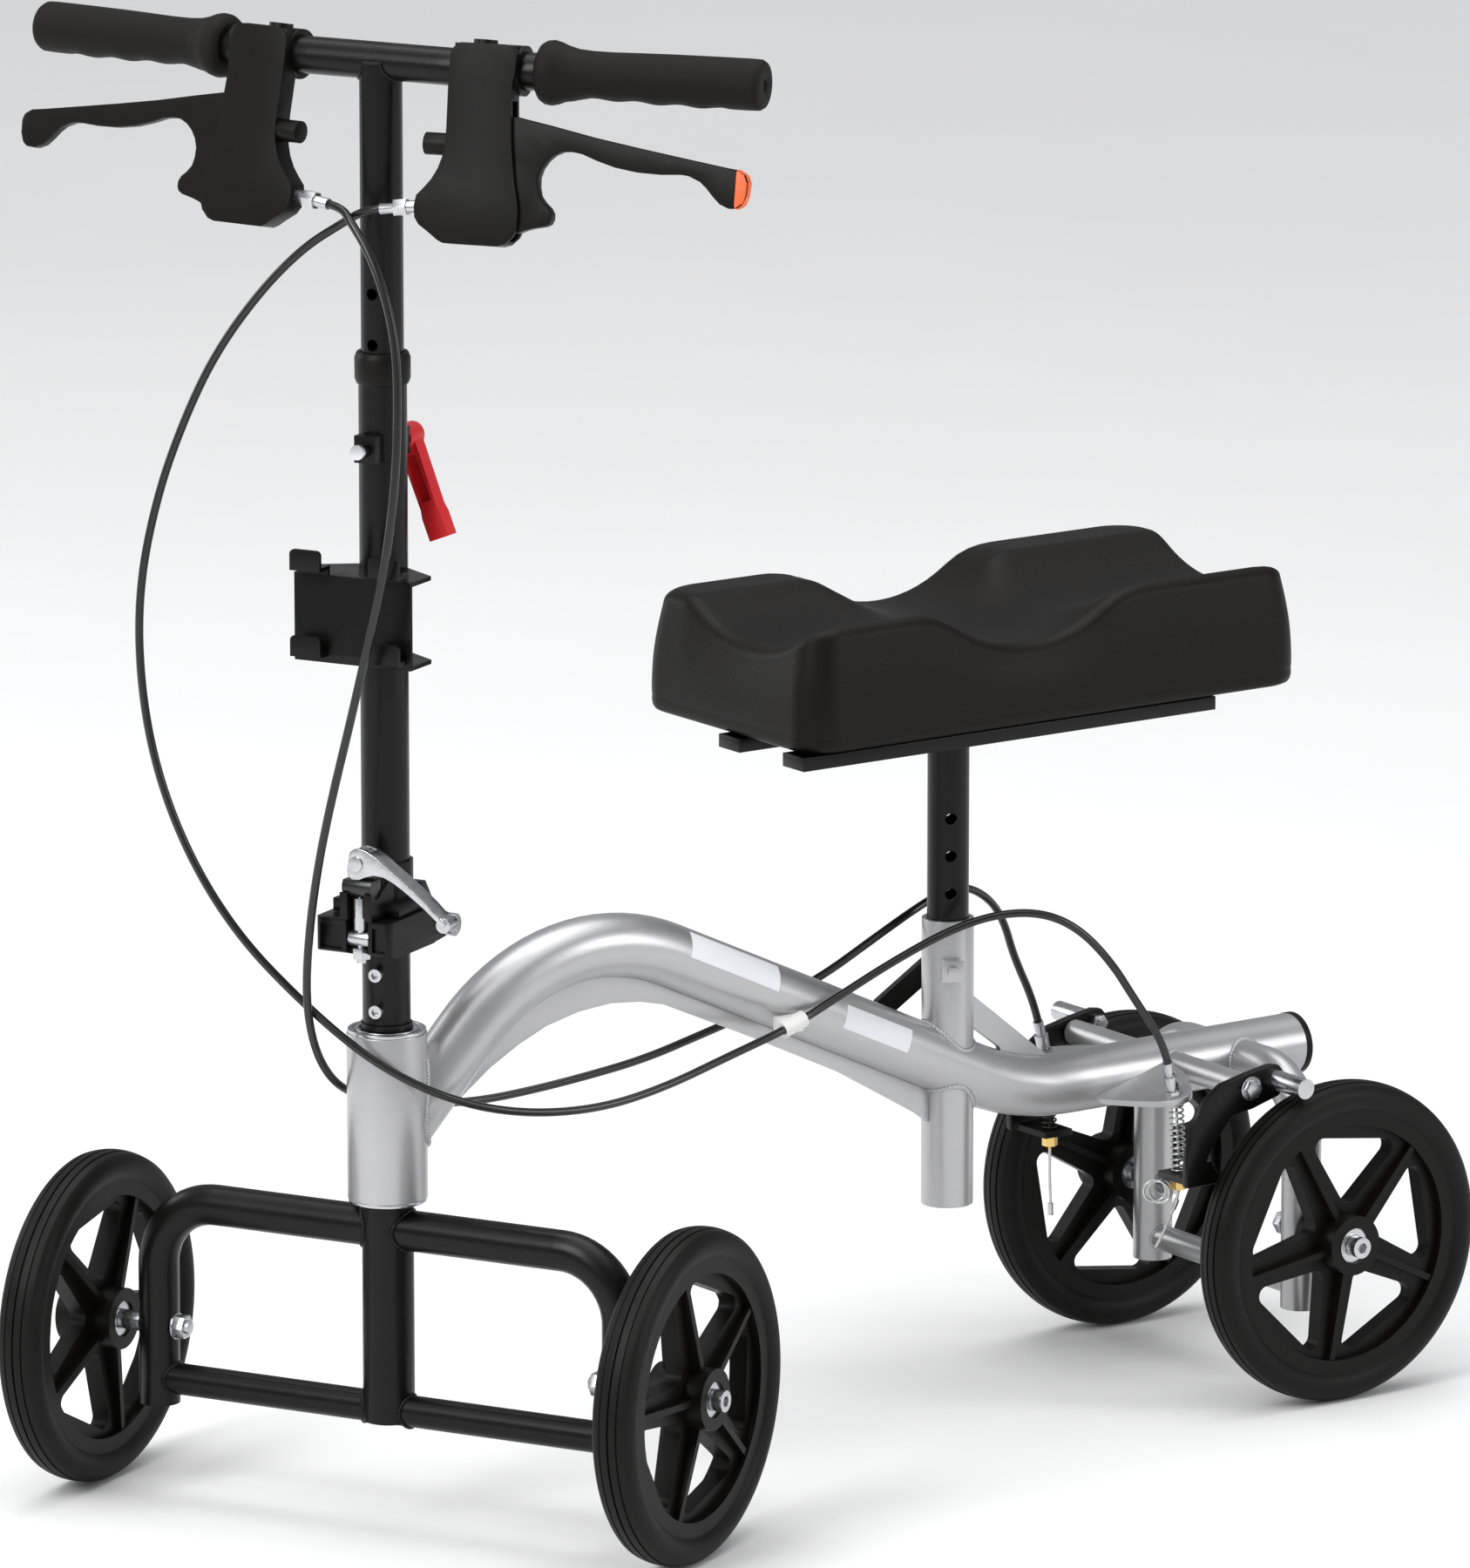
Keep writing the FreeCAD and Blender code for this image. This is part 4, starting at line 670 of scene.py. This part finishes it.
# ---- handlebar grips ----
def make_grip(side):
    """Rubber grip: flange, waist and a palm swell with finger bumps underneath."""
    profile = [
        (52.5, 12.0), (52.5, 14.5), (54, 17.0), (56.5, 18.5), (60, 18.9), (63.5, 18.1), (68, 16.3),
        (75, 14.6), (84, 13.9), (96, 13.8), (112, 14.2), (132, 14.6), (155, 14.8), (180, 14.9), (186.5, 14.7),
        (188.6, 13.4), (189.2, 11.0), (189.3, 4.2), (188.8, 3.3), (188.0, 3.0),
    ]
    stations = []
    for (s0, r0), (s1, r1) in zip(profile, profile[1:]):
        steps = max(1, int(abs(s1 - s0) / 2.0))
        for k in range(steps):
            t = k / steps
            stations.append((s0 + (s1 - s0) * t, r0 + (r1 - r0) * t))
    stations.append(profile[-1])
    sides = 40
    verts, faces = [], []
    for s, r in stations:
        for k in range(sides):
            a = math.tau * k / sides
            under = max(0.0, -math.sin(a - 0.25)) ** 1.5
            fade = smoothstep((s - 66) / 8) * smoothstep((172 - s) / 8)
            finger = math.sin((s - 66) / 26.0 * math.tau) * fade
            rr = r + 0.7 * under * finger if r > 13 else r
            verts.append(on_bar(side, s, rr * math.cos(a), BAR_Z + rr * math.sin(a)))
    for i in range(len(stations) - 1):
        for k in range(sides):
            m = (k + 1) % sides
            face = (i * sides + k, i * sides + m, (i + 1) * sides + m, (i + 1) * sides + k)
            faces.append(face if side < 0 else face[::-1])
    first, last = tuple(range(sides)), tuple(range((len(stations) - 1) * sides, len(stations) * sides))
    faces.append(first if side > 0 else first[::-1])
    faces.append(last[::-1] if side > 0 else last)
    return verts, faces


for side_name, side in (("left", 1), ("right", -1)):
    grip = merged(f"grip_{side_name}", [make_grip(side)], "handlebar_slide", MATS["grip_rubber"])
    if side > 0:
        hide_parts("grips")
    shade_by_angle(grip)


# ---- orange end of the rider's left brake lever ----
TIP = [(179.5, 824.1), (181.8, 823.7), (186.6, 821.0), (188.4, 816.6), (188.0, 809.0), (186.1, 803.9),
       (183.0, 801.3), (179.5, 801.0)]
TIP_DEPTHS = (-14.15, -6.65)


def make_lever_tip():
    verts = [on_bar(1, s, v, z, LEVER_TILT) for v in TIP_DEPTHS for s, z in TIP]
    n = len(TIP)
    faces = [tuple(range(n)), tuple(range(2 * n - 1, n - 1, -1))]
    faces += [(i, i + n, (i + 1) % n + n, (i + 1) % n) for i in range(n)]
    tip = new_object("lever_tip_left", verts, faces)
    tip.data.materials.append(MATS["orange_mark"])
    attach(tip, "hand_brake_left")
    soften(tip, 2.2)


make_lever_tip()


# ---- welds ----
def weld_ring(points, radius, ripple=0.35, pitch=1.9):
    """A bead along a closed line, with the small steps that a welder leaves."""
    n = len(points)
    length = sum((points[i] - points[i - 1]).length for i in range(n))
    count = max(8, round(length / (pitch * MM)))

    def shape(i, angle):
        return 1.0 + ripple * 0.3 * math.sin(math.tau * count * i / n)

    return sweep(points, radius * MM, 8, closed=True, shape=shape)


def resampled(points, step):
    """The same closed line with points step metres apart."""
    closed = points + [points[0]]
    lengths = [0.0]
    for a, b in zip(closed, closed[1:]):
        lengths.append(lengths[-1] + (b - a).length)
    count = max(12, int(lengths[-1] / step))
    result, j = [], 0
    for i in range(count):
        d = lengths[-1] * i / count
        while lengths[j + 1] < d:
            j += 1
        t = (d - lengths[j]) / max(1e-12, lengths[j + 1] - lengths[j])
        result.append(closed[j].lerp(closed[j + 1], t))
    return result


def saddle(origin, axis, small, big_point, big_axis, big, count=96):
    """The closed line where a tube of radius small, leaving origin along axis, meets the surface
    of a tube of radius big about (big_point, big_axis)."""
    axis, big_axis = axis.normalized(), big_axis.normalized()
    a = axis.orthogonal().normalized()
    b = axis.cross(a)
    points = []
    for k in range(count):
        t = math.tau * k / count
        p = origin + a * (small * math.cos(t)) + b * (small * math.sin(t))
        rel = p - big_point
        p_side = rel - big_axis * rel.dot(big_axis)
        d_side = axis - big_axis * axis.dot(big_axis)
        qa = d_side.dot(d_side)
        qb = 2 * p_side.dot(d_side)
        qc = p_side.dot(p_side) - big * big
        root = math.sqrt(max(0.0, qb * qb - 4 * qa * qc))
        points.append(p + axis * ((-qb + root) / (2 * qa)))
    return resampled(points, 0.45 * MM)


def make_welds():
    silver, black_fork, black_bar, black_column = [], [], [], []
    x_axis, y_axis = Vector((1, 0, 0)), Vector((0, 1, 0))
    head_r, main_r, seat_r, leg_r = 23.8 * MM, 19.05 * MM, 15.9 * MM, 12.2 * MM
    # main tube on the head tube, along the tube's first run
    start = at(0, 12, 241)
    silver.append(weld_ring(saddle(start, Vector((0, 106.9, 113.4)), main_r, at(0, 0, 0), UP, head_r), 1.9))
    # seat tube through the main tube, above and below
    slope = Vector((0, 341.3, -159.4))
    through = at(0, 408.5, 219.1)
    for direction in (UP, -UP):
        silver.append(weld_ring(saddle(through, direction, seat_r, at(0, 460.2, 195), slope, main_r), 1.7))
    # rear legs, pivot stubs and the lower tie
    for side in (-1, 1):
        silver.append(weld_ring(saddle(at(0, 623.4, 195), x_axis * side, leg_r, at(0, 0, 195), y_axis,
                                       main_r), 1.4))
        silver.append(weld_ring(saddle(at(0, 570, 199.3), x_axis * side, 8.0 * MM, at(0, 0, 195), y_axis,
                                       main_r), 1.3))
        silver.append(weld_ring(saddle(at(side * 75, 623.4, 64), x_axis * -side, 8.0 * MM,
                                       at(side * 75, 623.4, 0), UP, leg_r), 1.2))
    merged("frame_welds", silver, "frame", MATS["silver_paint"])
    # fork: steerer on the arch and on the lower tube, lower tube on the legs
    arch, lower = front(0, 0, 177.7), front(0, 0, 67.6)
    steerer_r = 15.35 * MM
    for point, radius in ((arch, leg_r), (lower, 9.5 * MM)):
        for side in (-1, 1):
            ring = saddle(point, FRONT_LEFT * side, radius, point, UP, steerer_r)
            black_fork.append(weld_ring(ring, 1.4))
    for side in (-1, 1):
        leg = front(side * 156.3, 0, 0)
        black_fork.append(weld_ring(saddle(front(side * 156.3, 0, 67.6), FRONT_LEFT * -side, 9.5 * MM,
                                           leg, UP, leg_r), 1.3))
    merged("fork_welds", black_fork, "fork", MATS["black_paint"])
    # inner tube under the bar
    bar_ring = saddle_under_bar()
    merged("bar_weld", [weld_ring(bar_ring, 1.3)], "handlebar_slide", MATS["black_paint"])


def saddle_under_bar():
    """The line where the upright inner tube meets the underside of the handlebar."""
    radius, bar_r = 12.5 * MM, 11.0 * MM
    points = []
    for k in range(96):
        t = math.tau * k / 96
        left, rear = radius * math.cos(t), radius * math.sin(t)
        drop = math.sqrt(max(0.0, bar_r ** 2 - min(abs(rear), bar_r) ** 2))
        points.append(front(left / MM, rear / MM, BAR_Z - drop / MM))
    return resampled(points, 0.45 * MM)


make_welds()


# ---- studio ----
def look_at(obj, target):
    obj.rotation_mode = "QUATERNION"
    obj.rotation_quaternion = (target - obj.location).to_track_quat("-Z", "Y")


def make_camera():
    data = bpy.data.cameras.new("camera")
    data.lens = 279.92
    data.sensor_width = 36.0
    data.clip_end = 100.0
    camera = bpy.data.objects.new("camera", data)
    bpy.context.scene.collection.objects.link(camera)
    camera.location = (5.7983, -4.1252, 1.9859)
    look_at(camera, Vector((-0.0254, -0.0018, 0.4066)))
    bpy.context.scene.camera = camera


def make_light(name, place, target, size, power, shape="RECTANGLE", size_y=None):
    data = bpy.data.lights.new(name, "AREA")
    data.shape = shape
    data.size = size
    data.size_y = size_y or size
    data.energy = power
    light = bpy.data.objects.new(name, data)
    light.location = place
    look_at(light, Vector(target))
    bpy.context.scene.collection.objects.link(light)


def make_studio():
    floor = new_object("floor", [(-30, -30, 0), (30, -30, 0), (30, 30, 0), (-30, 30, 0)], [(0, 1, 2, 3)])
    floor.data.materials.append(material("floor", (0.86, 0.86, 0.86), 0.7, spread=0.01, patch=2,
                                         bump=0.02, grain=300))
    world = bpy.data.worlds.new("studio")
    world.use_nodes = True
    world.node_tree.nodes["Background"].inputs["Color"].default_value = (0.96, 0.97, 1.0, 1)
    world.node_tree.nodes["Background"].inputs["Strength"].default_value = 0.32
    bpy.context.scene.world = world
    centre = (0, 0, 0.45)
    make_light("key", (0.6, -3.2, 2.8), centre, 1.6, 95, size_y=2.2)
    make_light("rim", (3.2, 2.4, 1.9), centre, 1.2, 50, size_y=2.0)
    make_light("top", (-0.4, 0.2, 3.4), centre, 2.6, 35)
    sky = bpy.data.lights.new("sky", "SUN")
    sky.energy = 1.3
    sky.angle = math.radians(70)
    sky_lamp = bpy.data.objects.new("sky", sky)
    bpy.context.scene.collection.objects.link(sky_lamp)
    make_light("fill", (-3.4, -1.8, 1.6), centre, 2.0, 35)
    bpy.context.scene.view_settings.view_transform = "Standard"


make_camera()
make_studio()
